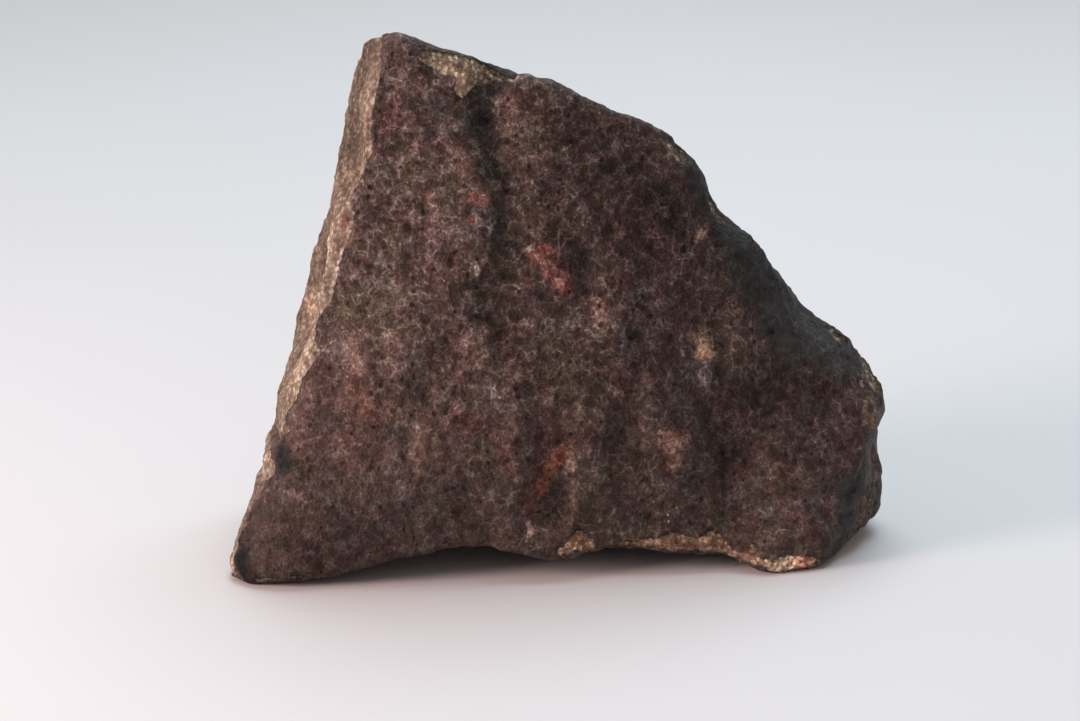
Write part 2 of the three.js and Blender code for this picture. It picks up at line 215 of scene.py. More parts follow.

# %% [markdown]
# ## Lumps and hollows that are finer than the CAD
#
# The crust has lumps and hollows a few millimetres wide, so each form here has both a height and a
# shade. The shade is partly the crust's own tone, with soot in some hollows and lumps worn paler, and
# partly painted light and shade: hollows, grooves and pits are painted darker where shade falls in
# them, lumps are painted lighter as if lit, and broad zones are painted lighter on the left, towards
# the warm lamp, and darker where the crust turns away from it. Each form runs along a short line and
# fades out over its reach. The shade is counted in stops: one stop up doubles the brightness.

# %% Name the forms
FORMS = {  # start, end, reach and height in millimetres, and stops
    "end_rib": ((53.4, -1.5, 13.5), (52.6, -4.5, 7.5), 0.8, 0.4, 0.3),
    "end_bulge": ((54.2, 1, 10), (53.5, 1, 6.5), 4.0, 1.2, 0),
    "end_corner": ((53.6, -2, 27), (51.2, 1, 31.5), 3.0, 0.8, 0),
    "end_notch": ((53, -2, 17.5), (53, -2, 16), 2.2, -0.7, 0),
    "shoulder_dip": ((45.8, -1.8, 37), (38.8, -3.7, 42.1), 3.0, -0.45, 0),
    "shoulder_rise": ((33.2, -5.1, 50.9), (30.4, -5.2, 53.8), 3.5, 0.55, 0),
    "shoulder_corner": ((15.5, -3, 72), (19.2, -3, 69), 3.0, 0.6, 0),
    "top_rise": ((-4.5, -8, 81.2), (-2, -8, 80.6), 3.0, 0.5, 0),
    "apex": ((-26, -6, 88.4), (-30.5, -8, 86), 3.5, 0.5, 0),
    "top_dip_left": ((-20.8, -8, 87.3), (-20.2, -8, 87), 2.0, -0.5, 0),
    "top_dip_right": ((-9.6, -6, 82.8), (-8.6, -6, 82.4), 1.8, -0.8, 0),
    "left_top_rise": ((-32.3, 1, 84.5), (-33, 3, 81), 3.5, 0.7, -0.2),
    "left_top_dip": ((-34.5, -2, 74.5), (-34.5, 0, 73), 3.5, -0.5, 0),
    "left_middle_dip": ((-43.8, 4, 38.5), (-44.2, 5, 35.5), 3.5, -0.7, 0),
    "left_low_dip": ((-45.5, -12, 31), (-45.8, -9, 29), 3.0, -0.35, 0),
    "left_notch": ((-47.4, -20, 23.2), (-48.2, -6, 23.2), 2.2, -0.9, -0.3),
    "left_bump": ((-50, -16, 19), (-50, -8, 19), 2.2, 0.3, 0.2),
    "left_corner": ((-54.2, -23, 3), (-50.5, -27, 1.5), 2.5, 0.6, 0),
    # The groove's shades are painted shade: its walls are darker where the warm lamp does not reach.
    "groove": ((-12.8, -9.7, 79.2), (-13.2, -11.1, 75.1), 2.9, -0.45, -1.35),
    "groove_side": ((-15, -11.8, 77.2), (-14.5, -13.1, 70.6), 1.5, -0.1, -0.5),
    "groove_middle": ((-12.1, -10.9, 73.9), (-11.5, -12, 66.4), 1.9, -0.3, -1.05),
    "groove_low": ((-10, -13.6, 61.2), (-9.5, -14.8, 56.7), 1.5, -0.3, -1),
    "groove_foot": ((-11.3, -16, 55.1), (-9, -16, 50.9), 1.9, -0.15, -0.5),
    "groove_end": ((-12.5, -18.5, 46.8), (-10, -19.3, 39.1), 1.9, -0.3, -0.8),
    "dip_left": ((-20.7, -20.8, 44.1), (-19.5, -21.1, 37.4), 1.9, -0.45, -1.15),
    "pocket_left_one": ((-24.3, -22.8, 34.2), (-22.2, -23.3, 31), 1.4, -0.25, -0.8),
    "pocket_left_two": ((-18.3, -21.7, 33.4), (-17.8, -22.4, 31.9), 1, -0.2, -0.6),
    "pocket_left_three": ((-27.6, -24, 25.7), (-25, -23.9, 25.4), 1.5, -0.2, -0.6),
    "pocket_left_four": ((-15.9, -23.6, 28), (-15.2, -24, 26.4), 1.4, -0.2, -0.5),
    "pocket_middle": ((-5.5, -19.6, 29.8), (-4.2, -20.5, 25.8), 1.7, -0.25, -0.6),
    "pocket_middle_two": ((-7.9, -18.8, 38.5), (-7.3, -18.5, 37.4), 1.2, -0.15, -0.5),
    "pocket_by_red": ((3.4, -12.7, 53.4), (4.7, -14.5, 47.5), 2.4, -0.45, -1.7),
    "pocket_high_one": ((-2.7, -12.6, 64.7), (-1.4, -12.7, 63.2), 1.2, -0.25, -0.8),
    "pocket_high_two": ((2.2, -12.1, 61.7), (2.4, -12.3, 60.8), 0.8, -0.15, -0.7),
    "pocket_high_three": ((6.3, -11.6, 59.6), (7.3, -12.2, 57.4), 1.4, -0.2, -0.6),
    "pocket_high_four": ((7.2, -8.9, 66.9), (12.9, -8, 66.7), 1.5, -0.2, -0.6),
    "pocket_high_five": ((0.7, -9.4, 74.5), (1.7, -9, 73.1), 1.2, -0.15, -0.5),
    "furrow_centre": ((11.6, -16.1, 40.5), (12.5, -18.1, 29.4), 1.7, -0.45, -0.8),
    "furrow_upper": ((13.6, -12.6, 50.1), (13.1, -14.2, 44.5), 1.9, -0.3, -0.9),
    "furrow_shoulder": ((19.3, -8.1, 59.4), (20.6, -10.1, 53.6), 2.4, -0.3, -0.8),
    "furrow_shoulder_low": ((22.9, -11.5, 46), (23.3, -11.8, 43.9), 1.4, -0.15, -0.5),
    "furrow_low": ((27.6, -16, 17.3), (27.3, -18.5, 8.3), 1.7, -0.45, -0.6),
    "furrow_right": ((23.5, -15.5, 26.5), (24.5, -15.8, 23.5), 1.5, -0.25, -0.6),
    "furrow_right_end": ((39.6, -10.3, 29.7), (43.7, -9.8, 27.9), 1.9, -0.25, -0.7),
    "furrow_right_high": ((30.3, -13.3, 30.9), (32.4, -13.3, 28.6), 1.5, -0.15, -0.5),
    "streak_hollow": ((-0.7, -21.3, 15.6), (-1.2, -23.1, 10.6), 1.5, -0.45, -1.3),
    "streak_top_hollow": ((-2.7, -20.3, 23.9), (0.1, -19.9, 23.4), 1.4, -0.15, -0.5),
    "pit_one": ((-17.3, -14.8, 66.3), (-17.1, -15, 65.7), 0.7, -0.3, -0.7),
    "pit_two": ((-31.6, -16.8, 68.9), (-31.6, -17, 68.1), 1, -0.2, -0.5),
    "pit_three": ((-32, -18, 64.2), (-31.6, -18.2, 63.1), 1.4, -0.15, -0.5),
    "pit_four": ((-30.6, -18.4, 60.9), (-30, -18.5, 60.2), 1.2, -0.15, -0.4),
    "pit_five": ((-24.5, -19.5, 53.8), (-24.4, -19.6, 52.5), 0.8, -0.2, -0.6),
    "pit_six": ((-18.1, -18.9, 53.8), (-18.1, -19, 52.7), 0.7, -0.2, -0.6),
    "pit_seven": ((-28.3, -20.2, 49.8), (-28, -20.1, 49.1), 0.8, -0.2, -0.6),
    "pit_eight": ((-33.4, -20.7, 49.9), (-33.3, -20.7, 49.3), 0.7, -0.2, -0.6),
    "pit_nine": ((-8.6, -15.9, 51.2), (-8.4, -16, 50.6), 0.8, -0.2, -0.7),
    "pit_ten": ((-10.5, -14.8, 58), (-10.2, -14.9, 57.2), 0.8, -0.2, -0.6),
    # Darker along the left crust edge, in the left notch and at the left foot.
    "edge_darker_high": ((-39.6, -22.8, 34.5), (-37.6, -23.3, 33.3), 1.9, -0.1, -0.5),
    "edge_darker_low": ((-39.2, -20.7, 43.2), (-39.1, -21.6, 39.8), 1.4, -0.1, -0.4),
    "notch_darker": ((-46.8, -21.3, 23), (-45.3, -24.2, 20), 1.5, -0.25, -2.2),
    # Painted shadow in the corner where the stone meets the floor.
    "corner_hollow": ((-52.4, -24.3, 4.4), (-51.9, -25.6, 2.4), 1.5, -0.25, -3.6),
    "foot_darker_patch": ((-37, -26.5, 12.8), (-34.2, -27.6, 6.6), 2.7, -0.1, -0.35),
    "foot_dip_one": ((-13.5, -24.5, 10.2), (-12.5, -24.7, 8.7), 1.4, -0.15, -0.5),
    "foot_dip_two": ((-30.6, -27, 11.3), (-29.5, -27.3, 8.9), 1.4, -0.15, -0.4),
    "foot_dip_three": ((-31.1, -24.2, 21.9), (-30.3, -24.7, 19.5), 1.2, -0.15, -0.4),
    "foot_dip_four": ((-32.2, -25.7, 16.7), (-31.2, -26.3, 15.3), 1.2, -0.15, -0.4),
    "above_right_foot": ((37.7, -20.4, 5), (41.1, -19.2, 4.9), 1.9, -0.2, -0.5),
    "above_foot_band": ((14.4, -20.7, 9.5), (21.4, -20.1, 8.9), 1.7, -0.15, -0.25),
    "lump_upper": ((6.3, -14.7, 47.2), (6.5, -16.4, 42.2), 2.4, 0.5, 1.25),
    "lump_upper_low": ((7.3, -17.3, 40.1), (7.6, -17.9, 35.5), 2, 0.2, 0.3),
    "lump_groove": ((-8.7, -9.6, 78.1), (-7.6, -11.1, 68.2), 2.5, 0.3, 0.4),
    "lump_left_high": ((-15.5, -13.9, 68.8), (-13.2, -15.6, 60), 2.2, 0.3, 0.7),
    "lump_left_light": ((-25.8, -15.6, 68.3), (-22.9, -16.3, 63.5), 2.2, 0.1, 0.3),
    "lump_left_long": ((-20.3, -16.7, 62.4), (-19.7, -18.6, 56.6), 1.5, 0.2, 0.4),
    "lump_left_bright": ((-34, -22.4, 40), (-32.5, -23.5, 36.4), 1.5, 0.3, 0.8),
    "lump_left_dot": ((-28.7, -21.2, 42.4), (-28.5, -21.6, 41.4), 1, 0.2, 0.6),
    "lump_left_dot_two": ((-35.1, -21.4, 43.6), (-34.6, -21.6, 42.6), 1, 0.15, 0.5),
    "lump_low_left": ((-23, -23.9, 26), (-22.9, -24.8, 22), 1.4, 0.4, 1.2),
    "lump_middle_high": ((-15.2, -20.1, 40.9), (-13.4, -20.8, 37), 1.5, 0.35, 0.95),
    "lump_middle_dot": ((-7.8, -18.7, 37.3), (-8.1, -22.5, 23.9), 1.9, 0.25, 0.95),
    "lump_middle": ((-11.8, -22.6, 28), (-8.7, -20.6, 31.7), 1.5, 0.3, 0.6),
    "lump_middle_left": ((-18.3, -24, 27.6), (-16.2, -22.9, 30.5), 1, 0.2, 0.5),
    "lump_middle_low": ((-15.2, -24.4, 24.5), (-13, -23.8, 21.6), 1.5, 0.15, 0.4),
    "lump_right_high": ((23.3, -14.5, 34.5), (24.3, -14.6, 29), 2.7, 0.4, 1.2),
    "lump_right": ((12.9, -17.7, 32), (13.8, -18.2, 24.3), 1.9, 0.3, 0.7),
    "lump_right_edge": ((28.3, -11.3, 42), (28.3, -13, 36.2), 2.2, 0.25, 0.8),
    "lump_streak": ((2.3, -21.4, 15.9), (2.3, -23.2, 11), 0.8, 0.35, 0.6),
    "lump_streak_left": ((-5.5, -24, 9.9), (-5, -24.3, 8.4), 0.7, 0.3, 1.3),
    "lump_end": ((34.7, -16.9, 15.1), (37.8, -17.3, 11.4), 2.7, 0.3, 0.65),
    "lump_end_foot": ((35.6, -20.2, 6.8), (40.4, -19.3, 5.4), 2.2, 0.15, 0.95),
    "lump_right_low": ((6, -20.9, 18.2), (7, -21, 16.2), 1.4, 0.1, 0.3),
    "lump_foot_left": ((-43, -25.9, 15), (-42.7, -27.1, 10.8), 2.4, 0.2, 0.6),
    "lump_foot_left_two": ((-36.1, -24.7, 21.5), (-34.2, -24.4, 22.4), 1.5, 0.15, 0.3),
    "lump_end_pale": ((42.5, -7.5, 35.6), (46.5, -7.1, 31.7), 2.5, 0.1, 0.9),
    # Painted shade at the top of the left face, which turns away from the warm lamp.
    "strip_top_painted_shade": ((-31.8, -2.3, 83.7), (-35.5, -0.4, 67.6), 4.1, 0, -0.85),
    "strip_middle_pale": ((-43.1, 6.7, 39.8), (-45.1, -11.8, 31), 2.2, 0.1, 1.2),
    "lump_groove_low": ((-14.8, -17.1, 58.2), (-13.9, -18.1, 52.8), 2, 0.25, 0.75),
    "lump_shoulder_low": ((37.3, -10.4, 35.4), (40.2, -9.7, 31.7), 2, 0.1, 0.6),
    "lump_orange_left": ((-31.1, -24.1, 30.9), (-28.6, -24, 26.1), 2, 0.2, 0.3),
    "lump_orange_low": ((-34.1, -24.3, 23.6), (-33.5, -24.5, 20.7), 1.5, 0.15, 0.4),
    "lump_foot_middle": ((-27.2, -26.8, 8.4), (-16.3, -24.6, 8.7), 1.7, 0.1, 0.45),
    "lump_by_streak": ((-7.6, -24.8, 12.9), (-6.8, -24.4, 10.7), 1.7, 0.1, 0.45),
    "lump_foot_right": ((5.1, -22.1, 14.3), (7.1, -21.4, 12.3), 1.7, 0.1, 0.45),
    "lump_high_centre": ((-4.3, -14.3, 58), (-2.2, -14.2, 55.5), 1.9, 0.15, 0.4),
    "lump_end_high": ((35.5, -16.4, 17.6), (38.4, -16.2, 16.7), 1.9, 0.15, 0.4),
    "dark_shoulder": ((9.3, -8.3, 68.2), (21.6, -8.5, 57.2), 3.2, -0.1, -0.9),
    "dark_right": ((31.7, -13.6, 27.7), (39, -12.2, 25.9), 2.4, -0.1, -0.45),
    "dark_right_low": ((21.3, -18.6, 14.8), (21.7, -19.2, 11.5), 1.9, -0.15, -0.5),
    "dark_foot": ((9.4, -20.9, 12.1), (13, -20.7, 9.4), 1.7, -0.1, -0.45),
    "dark_end_edge": ((51.6, -9.8, 20.2), (51.5, -9.1, 15.8), 1.5, -0.1, -0.8),
    "dark_by_red_line": ((26.7, -15.6, 20.8), (30.6, -16.1, 18), 2, -0.15, -1.2),
    "dark_strip_middle": ((-36.5, -19, 55.7), (-38.9, -21.1, 42.2), 1.4, -0.1, -0.55),
    "dark_strip_top": ((-28.4, -10.7, 86.6), (-30.2, -15.3, 75.3), 1.5, -0.05, -0.5),
    "dark_high": ((0.6, -11.3, 66.5), (1.1, -11.9, 64), 1.4, -0.15, -0.45),
    # The chip under the top edge and the band along the foot are pale stone, and these shades also
    # paint in light, as both sit low in shade.
    "pale_top_chip": ((-19.7, -11.6, 84.1), (-13.6, -9.4, 82.1), 2, 0, 0.3),
    "pale_top_chip_low": ((-16.8, -11.7, 82.2), (-15.8, -11.5, 80.5), 1.5, 0, 1.25),
    "pale_foot_middle": ((1.4, -24.4, 5.8), (4.4, -23.2, 6), 1.9, 0, 1.45),
    "pale_foot_band": ((13.1, -20.8, 5.1), (23.9, -20.4, 5.5), 1.4, 0, 0.6),
    "pale_foot_band_end": ((28.1, -20.2, 3.5), (33.3, -21.8, 2.5), 1.4, 0, 1.3),
    "pale_foot_right": ((35.6, -21.7, 1.5), (38.9, -20.4, 1.8), 1.5, 0.15, 1.4),
    "pale_foot_right_end": ((40.1, -19.8, 1.6), (41.5, -19.4, 0.9), 1.4, 0.15, 1.9),
    "pale_tan_high": ((23.4, -13.8, 38.3), (23.6, -14.1, 36.6), 1.4, 0.2, 0.75),
    "pale_red_low": ((-0.9, -15.3, 49.7), (0.1, -15.4, 48.4), 1.4, 0, 0.5),
    "lump_centre_high": ((-26.5, -21.7, 40.6), (-25.9, -22.6, 37.5), 1.7, 0.2, 0.6),
    "lump_upper_dot": ((8.9, -17.2, 39.4), (10.3, -17.3, 37.4), 1.5, 0.1, 0.6),
    "dark_groove_right": ((-9.2, -11.7, 65.3), (-8.9, -13.1, 61.9), 1.7, -0.15, -0.75),
    "dark_shoulder_side": ((24.9, -9.1, 54.6), (25.9, -10.7, 46.5), 1.7, -0.05, -0.5),
    "dark_top_right": ((-8.7, -8.8, 80.6), (-6.4, -9.9, 79.2), 1.4, 0, -0.5),
    "dark_violet": ((-20.3, -13.1, 78.8), (-19, -12.9, 76.5), 1.5, -0.05, -0.5),
    "lump_low_middle": ((-16.2, -24.2, 26.1), (-14.9, -24.4, 22.4), 1.5, 0.15, 0.5),
    "pale_fleck_high": ((4.2, -9.5, 67.8), (6, -8.9, 68.2), 1, 0.1, 0.8),
    "pale_fleck_shoulder": ((23, -9.4, 55), (23.9, -8.5, 56.5), 1, 0.1, 0.9),
    "pale_tan_low": ((18.6, -18.8, 23.1), (19, -19, 19), 1.9, 0.15, 0.1),
    "pale_streak": ((-0.2, -19.9, 20.8), (-3.5, -22.4, 15.2), 0.8, 0.15, -0.55),
    "pale_end_lens": ((51.9, -6.9, 25.7), (51.9, -9.2, 22.5), 1.4, 0.1, 0.15),
    # Darker slope at the upper right: partly sooty crust, partly painted shade, as it turns away from
    # the warm lamp.
    "slope_sooty_and_shaded": ((31.6, -8.5, 49.3), (38.4, -4.4, 42.4), 4.4, 0, -0.5),
    "pale_corner_rim": ((-54.3, -22.1, 3.6), (-54.3, -23.3, 1.8), 1, 0.1, 1.1),
    "pale_end_rim": ((52, 0, 29.6), (52.8, -3.1, 27.4), 1, 0.1, 0.4),
    "dark_red_high": ((11.9, -10.8, 56.7), (14.6, -11, 53.7), 1.7, -0.1, -0.5),
    "pale_red_high": ((9.8, -14.1, 48.6), (11.3, -13.8, 48), 1.2, 0.1, 0.55),
    "left_edge_dent_high": ((-34.7, -1, 74.1), (-34.7, -1, 73.9), 1.2, -0.5, 0),
    "left_edge_knob_high": ((-36.1, 1.8, 70.3), (-36.1, 1.7, 70.2), 1.2, 0.4, 0),
    "left_edge_dent_middle": ((-44.3, 5.5, 36.6), (-44.3, 5.2, 36.3), 1.4, -0.45, 0),
    "left_edge_knob_middle": ((-48.3, -11.2, 22.9), (-48.3, -11.6, 22.7), 1, 0.5, 0),
    "left_edge_dent_low": ((-47.4, -20.3, 23), (-47.2, -20.7, 23), 0.8, -0.7, 0),
    "left_edge_knob_low": ((-48.9, -13.8, 18.3), (-48.8, -15.1, 18), 1, 0.6, 0.1),
    "left_edge_knob_foot": ((-50.4, -14.1, 14.9), (-50.1, -16.5, 15), 1.4, 0.45, 0),
    "left_corner_knob": ((-53.7, -23.9, 1.8), (-51.3, -25.5, 1), 1.5, 0.55, 0),
    "end_dent_low": ((53.4, -0.8, 13.8), (53.5, -0.7, 13), 1.5, -0.8, 0),
    "end_dent_foot": ((49.8, -10.6, 4), (46.3, -16.8, 3.3), 1.4, -0.7, 0),
    "end_dent_high": ((52.4, -0.9, 28.8), (52.6, -1.1, 28.5), 1.4, -0.5, 0),
    "end_knob_high": ((48.2, -0.5, 34.9), (48.6, 0.2, 34.5), 1.4, 0.45, 0),
    "shoulder_dent": ((39, -2.9, 42), (39.2, -2.6, 41.8), 1.5, -0.35, 0),
    "shoulder_knob": ((30.5, -3.4, 53.9), (30.7, -3.8, 53.8), 1.5, 0.35, 0),
    "top_edge_dent": ((-8.7, -8, 81.6), (-8.5, -8, 81.6), 1.4, -0.4, 0),
    # The fold's shades lighten it; on its lip and ridge they are a painted highlight.
    "end_fold_top": ((50.3, -11.4, 12.6), (48.2, -12.4, 11.2), 1.2, -0.4, 0),
    "end_fold": ((48.1, -12.5, 10.9), (47.4, -13, 7.8), 1.4, -0.3, 0.5),
    "end_fold_low": ((47.4, -13, 7.5), (46.7, -16.5, 3), 1.5, -0.35, 0.4),
    "end_fold_lip": ((45.9, -13.7, 10.6), (45, -18, 4.1), 0.8, 0.25, 0.5),
    "end_fold_ridge": ((51.2, -8.4, 8.8), (50.6, -9.6, 4.5), 0.8, 0.5, 0.3),
    # Broad zones. The left is paler crust and painted light from the warm lamp on that side. The upper
    # right, the right and the top edge are sooty crust and painted shade, as they turn from that lamp.
    # The left foot and the end side are a little darker.
    "left_weathered_and_lit": ((-34, -24, 32), (-28, -16, 72), 24.0, 0, 0.76),
    "upper_right_sooty_and_shaded": ((6, -8, 66), (24, -8, 50), 11.0, 0, -0.5),
    "right_sooty_and_shaded": ((20, -14, 30), (32, -14, 30), 12.0, 0, -0.55),
    "left_foot_darker": ((-50, -26, 8), (-22, -26, 12), 10.0, 0, -0.5),
    "top_edge_sooty_and_shaded": ((-27, -5, 88), (2, -6, 80.5), 2.0, 0, -0.6),
    "end_side_darker": ((52, -6, 8), (52, -4, 30), 7.0, 0, -0.15),
}
print(len(FORMS), "forms named")

# %% [markdown]
# The sums of all heights and of all shades are stored on the mesh as attributes, which are numbers
# that each of its points carries. The relief and the material read them later.


# %% Add up the forms
def near_line(places, start, end):
    """How far each place is from a line, and how far along the line its nearest point lies."""
    start, end = np.array(start, float), np.array(end, float)
    line = end - start
    share = np.clip((places - start) @ line / (line @ line), 0, 1)
    return np.linalg.norm(places - start - share[:, None] * line, axis=1), share


def formed(places):
    """Each place's height in millimetres and its shade in stops."""
    sums = np.zeros((2, len(places)))
    for start, end, reach, *height_and_stops in FORMS.values():
        distance, _ = near_line(places, start, end)
        sums += np.outer(height_and_stops, np.exp(-((distance / reach) ** 2)))
    return sums


def places_of(mesh):
    places = np.zeros(len(mesh.vertices) * 3, np.float32)
    mesh.vertices.foreach_get("co", places)
    return places.reshape(-1, 3) / MM


def store(mesh, name, values):
    attribute = mesh.attributes.new(name, "FLOAT", "POINT")
    attribute.data.foreach_set("value", values.astype(np.float32))
    print(name, "goes from", round(float(values.min()), 2), "to", round(float(values.max()), 2))


places = places_of(surface.data)
heights, shades = formed(places)
store(surface.data, "shaped", heights)
store(surface.data, "shade", shades)

# %% [markdown]
# ## Where the crust is gone
#
# The stone lost its crust along the broken left face and in chips elsewhere. Each place gets one
# number: how many millimetres it lies inside a broken area, less than zero on the crust. Towards the
# front, the left face is bounded by the crust's ragged edge, which a line of points follows from the
# top down. Round the back, a place is broken where a broken plane is nearer to it than any plane of
# the crust, as in the CAD part, and waves make that border wander. A chip is a chain of balls, from
# one radius to another.


# %% Measure how far each place lies inside a broken area
def facing(azimuth, elevation):
    """An outward direction: azimuth 0 faces the camera and 90 faces right."""
    a, e = math.radians(azimuth), math.radians(elevation)
    return np.array((math.sin(a) * math.cos(e), -math.cos(a) * math.cos(e), math.sin(e)))


CRUST_EDGE = [  # points on the edge, from the top down
    (-29.1, -5.4, 87.6),
    (-29.2, -12, 84.5),
    (-29.6, -14, 82.1),
    (-30.3, -14.6, 78.6),
    (-30.7, -15, 76.9),
    (-30.4, -16.2, 71.3),
    (-32, -17, 68.1),
    (-33.3, -17.5, 65.8),
    (-34.2, -18.2, 63.1),
    (-33.5, -18.8, 60.5),
    (-34.3, -19.6, 56.8),
    (-35.8, -20.1, 54.3),
    (-37.1, -20.8, 49.2),
    (-37.5, -21, 47),
    (-38.9, -20.6, 45.2),
    (-40.3, -19.3, 42.3),
    (-40.3, -20.3, 40.3),
    (-39.2, -21.9, 38.6),
    (-40.7, -22, 36.7),
    (-42.4, -20.8, 33.9),
    (-43.5, -21.4, 30.4),
    (-45.2, -19.5, 27.6),
    (-45.8, -18.9, 26.4),
    (-44.5, -22.1, 25.4),
    (-46.6, -19.5, 23.4),
    (-48.2, -14.5, 22.5),
    (-48.9, -11.5, 21.2),
    (-48.3, -15.5, 20.2),
    (-47.4, -20, 19.8),
    (-46.6, -22.3, 19.5),
    (-47.4, -21.6, 18.8),
    (-46.8, -22.9, 18.2),
    (-49.4, -18.6, 15.6),
    (-50.4, -21.1, 12.7),
    (-51.9, -20.8, 9.8),
    (-53.4, -21.4, 6.3),
    (-53.9, -22.6, 3.6),
    (-53.2, -24.6, 1),
]
ACROSS_EDGE = np.array((-0.857, 0.515, 0))  # leftwards and back, onto the broken face
BROKEN_PLANES = [
    ((-39.3, -22, 42.4), facing(-56, 16)),
    ((-45.8, -20.7, 32.5), facing(-79, 18.5)),
    ((-50.9, -24.1, 12), facing(-89.5, 14)),
]
CRUST_PLANES = [
    ((-17.7, -10.4, 86.8), facing(127, 69)),
    ((-6.1, 1.9, 79), facing(169, 33.5)),
    ((-43.7, 17, 22.3), facing(-142, 9.5)),
    ((-0.7, 28.6, 24), facing(182, 8)),
    ((0, 0, 2.2), facing(0, -90)),
]
CHIPS = {  # a point and the radius there, and then the same at the chip's other end
    "top_edge_left": ((-21.6, -11.7, 85.4), 1.4, (-18, -11.2, 84.2), 2.0),
    "top_edge_right": ((-18, -11.2, 84.2), 2.0, (-12.6, -9.2, 82), 1.9),
    "top_edge_tail": ((-15, -10.9, 82), 2.4, (-16, -11.8, 79.9), 1.2),
    "top_edge_low": ((-20.6, -12, 84.3), 0.7, (-19.6, -12.2, 82.9), 0.9),
    "top_rim": ((-12, -8.2, 82.4), 1.4, (-7.1, -8.6, 81.4), 0.8),
    "shoulder_edge": ((17.6, -6, 69.7), 0.8, (19.9, -6.2, 67.6), 1.3),
    "shoulder_sliver": ((24.8, -5.5, 59.7), 0.8, (26.4, -5.7, 57.3), 1.1),
    "shoulder_tip": ((46.5, -1.7, 36.5), 1.0, (47.6, -1.9, 35.3), 1.0),
    "end_rim": ((51.3, 0.4, 30.6), 1.0, (52.8, -2.7, 27.6), 1.5),
    "end_foot": ((50.7, -9.4, 5.2), 0.5, (50.8, -9.2, 4), 0.5),
    "foot_middle_left": ((0.4, -24.5, 5), 0.9, (3, -23.9, 6.9), 1.7),
    "foot_middle_right": ((3, -23.9, 6.9), 1.7, (4.9, -22.8, 4.9), 1.1),
    "foot_band_start": ((9.6, -20.9, 5), 0.4, (15.6, -21, 5.2), 1.1),
    "foot_band_rise": ((15.6, -21, 5.2), 1.1, (18.6, -21.2, 5.6), 1.8),
    "foot_band_middle": ((18.6, -21.2, 5.6), 1.8, (22.3, -20.7, 4.8), 1.3),
    "foot_band_peak": ((22.3, -20.7, 4.8), 1.3, (25.2, -20.1, 5.2), 1.9),
    "foot_band_fall": ((25.2, -20.1, 5.2), 1.8, (27.9, -20.3, 3.2), 1.1),
    "foot_band_end": ((27.9, -20.3, 3.2), 1.1, (34, -21.8, 2.1), 0.8),
    "foot_post": ((31.8, -20.8, 4.8), 0.5, (32.6, -21.6, 2.6), 0.8),
    "foot_right_tip": ((35, -21.7, 0.9), 0.9, (38, -20.8, 1.5), 1.8),
    "foot_right": ((38, -20.8, 1.5), 1.8, (41.6, -19.3, 0.9), 1.4),
    "left_rim": ((-53, -22, 9), 0.5, (-54.6, -22.4, 3), 0.9),
    "corner_rim": ((-54.6, -22.4, 3), 0.8, (-52, -26.4, 0.4), 0.9),
    "corner_rim_foot": ((-52, -26.4, 0.4), 0.9, (-46.2, -28.6, 1), 0.8),
    "corner_rim_end": ((-44.6, -28.7, 1.7), 0.5, (-42.6, -28.5, 1.6), 0.5),
    "left_foot_edge": ((-37.6, -27.3, 1.8), 0.4, (-34.8, -26.5, 2), 0.6),
}


def plane_height(places, planes):
    """The highest of the planes' distances, at each place."""
    return np.max([(places - through) @ normal for through, normal in planes], axis=0)


BACK_WAVES = ((1.3, 4.1, 0), (0.8, 1.7, 1))  # each wave's swing, its length and where it starts
BACK_SHIFT = 1.9  # how far they push the border back on the whole
BACK_FADE = 8  # from this far behind the ridge the border wanders fully


def inside_broken(places):
    edge = np.array(CRUST_EDGE)[::-1]
    edge_across = np.interp(places[:, 2], edge[:, 2], edge @ ACROSS_EDGE)
    depth = plane_height(places, BROKEN_PLANES) - plane_height(places, CRUST_PLANES)
    waves = [swing * np.sin(places[:, 2] / length + start) for swing, length, start in BACK_WAVES]
    depth += sum(waves, BACK_SHIFT) * np.clip(places[:, 1] / BACK_FADE, 0, 1)
    depth = np.minimum(depth, places @ ACROSS_EDGE - edge_across)
    for start, start_radius, end, end_radius in CHIPS.values():
        distance, share = near_line(places, start, end)
        depth = np.maximum(depth, start_radius + share * (end_radius - start_radius) - distance)
    return np.clip(depth, -20, 20)


store(surface.data, "broken", inside_broken(places))

# %% [markdown]
# ## The shoulder
#
# Above a line along the stone's right side the melt ran thinner. The crust there is smooth and
# charcoal grey, with hardly any craze. The grey is partly the crust's own colour and partly painted
# shade, as this slope turns away from the warm lamp. The line is given as a height for each place
# along the stone, and the grey fades out behind the ridge. A fold at the right end is as smooth, so it
# counts too, and its grey is painted shade in the hollow.

# %% Measure how far each place lies inside the shoulder
SHOULDER_EDGE = [  # along the stone, and the height there
    (8, 90),
    (14, 76),
    (21, 62.5),
    (22.8, 58.3),
    (25.4, 54.3),
    (27, 49.3),
    (29.5, 44.3),
    (32.4, 38.6),
    (35.5, 34.6),
    (39.7, 31.6),
    (49.5, 30),
    (56, 31),
]
SHOULDER_SLANT = 0.7  # the line slants, so a place is nearer to it than its height above it says
SHOULDER_FADE = 0.3  # millimetres lost for each millimetre behind the ridge
FOLD = ((50.3, -11.4, 12.8), (48.2, -12.5, 11.6), (47.6, -12.9, 7.6), (46.7, -16.5, 3.0))
FOLD_RADIUS = 3.2


def inside_shoulder(places):
    along, height = np.array(SHOULDER_EDGE).T
    depth = SHOULDER_SLANT * (places[:, 2] - np.interp(places[:, 0], along, height))
    depth -= SHOULDER_FADE * np.maximum(places[:, 1], 0)
    for start, end in zip(FOLD, FOLD[1:]):
        distance, _ = near_line(places, start, end)
        depth = np.maximum(depth, FOLD_RADIUS - distance)
    return np.clip(depth, -10, 10)


store(surface.data, "shoulder", inside_shoulder(places))

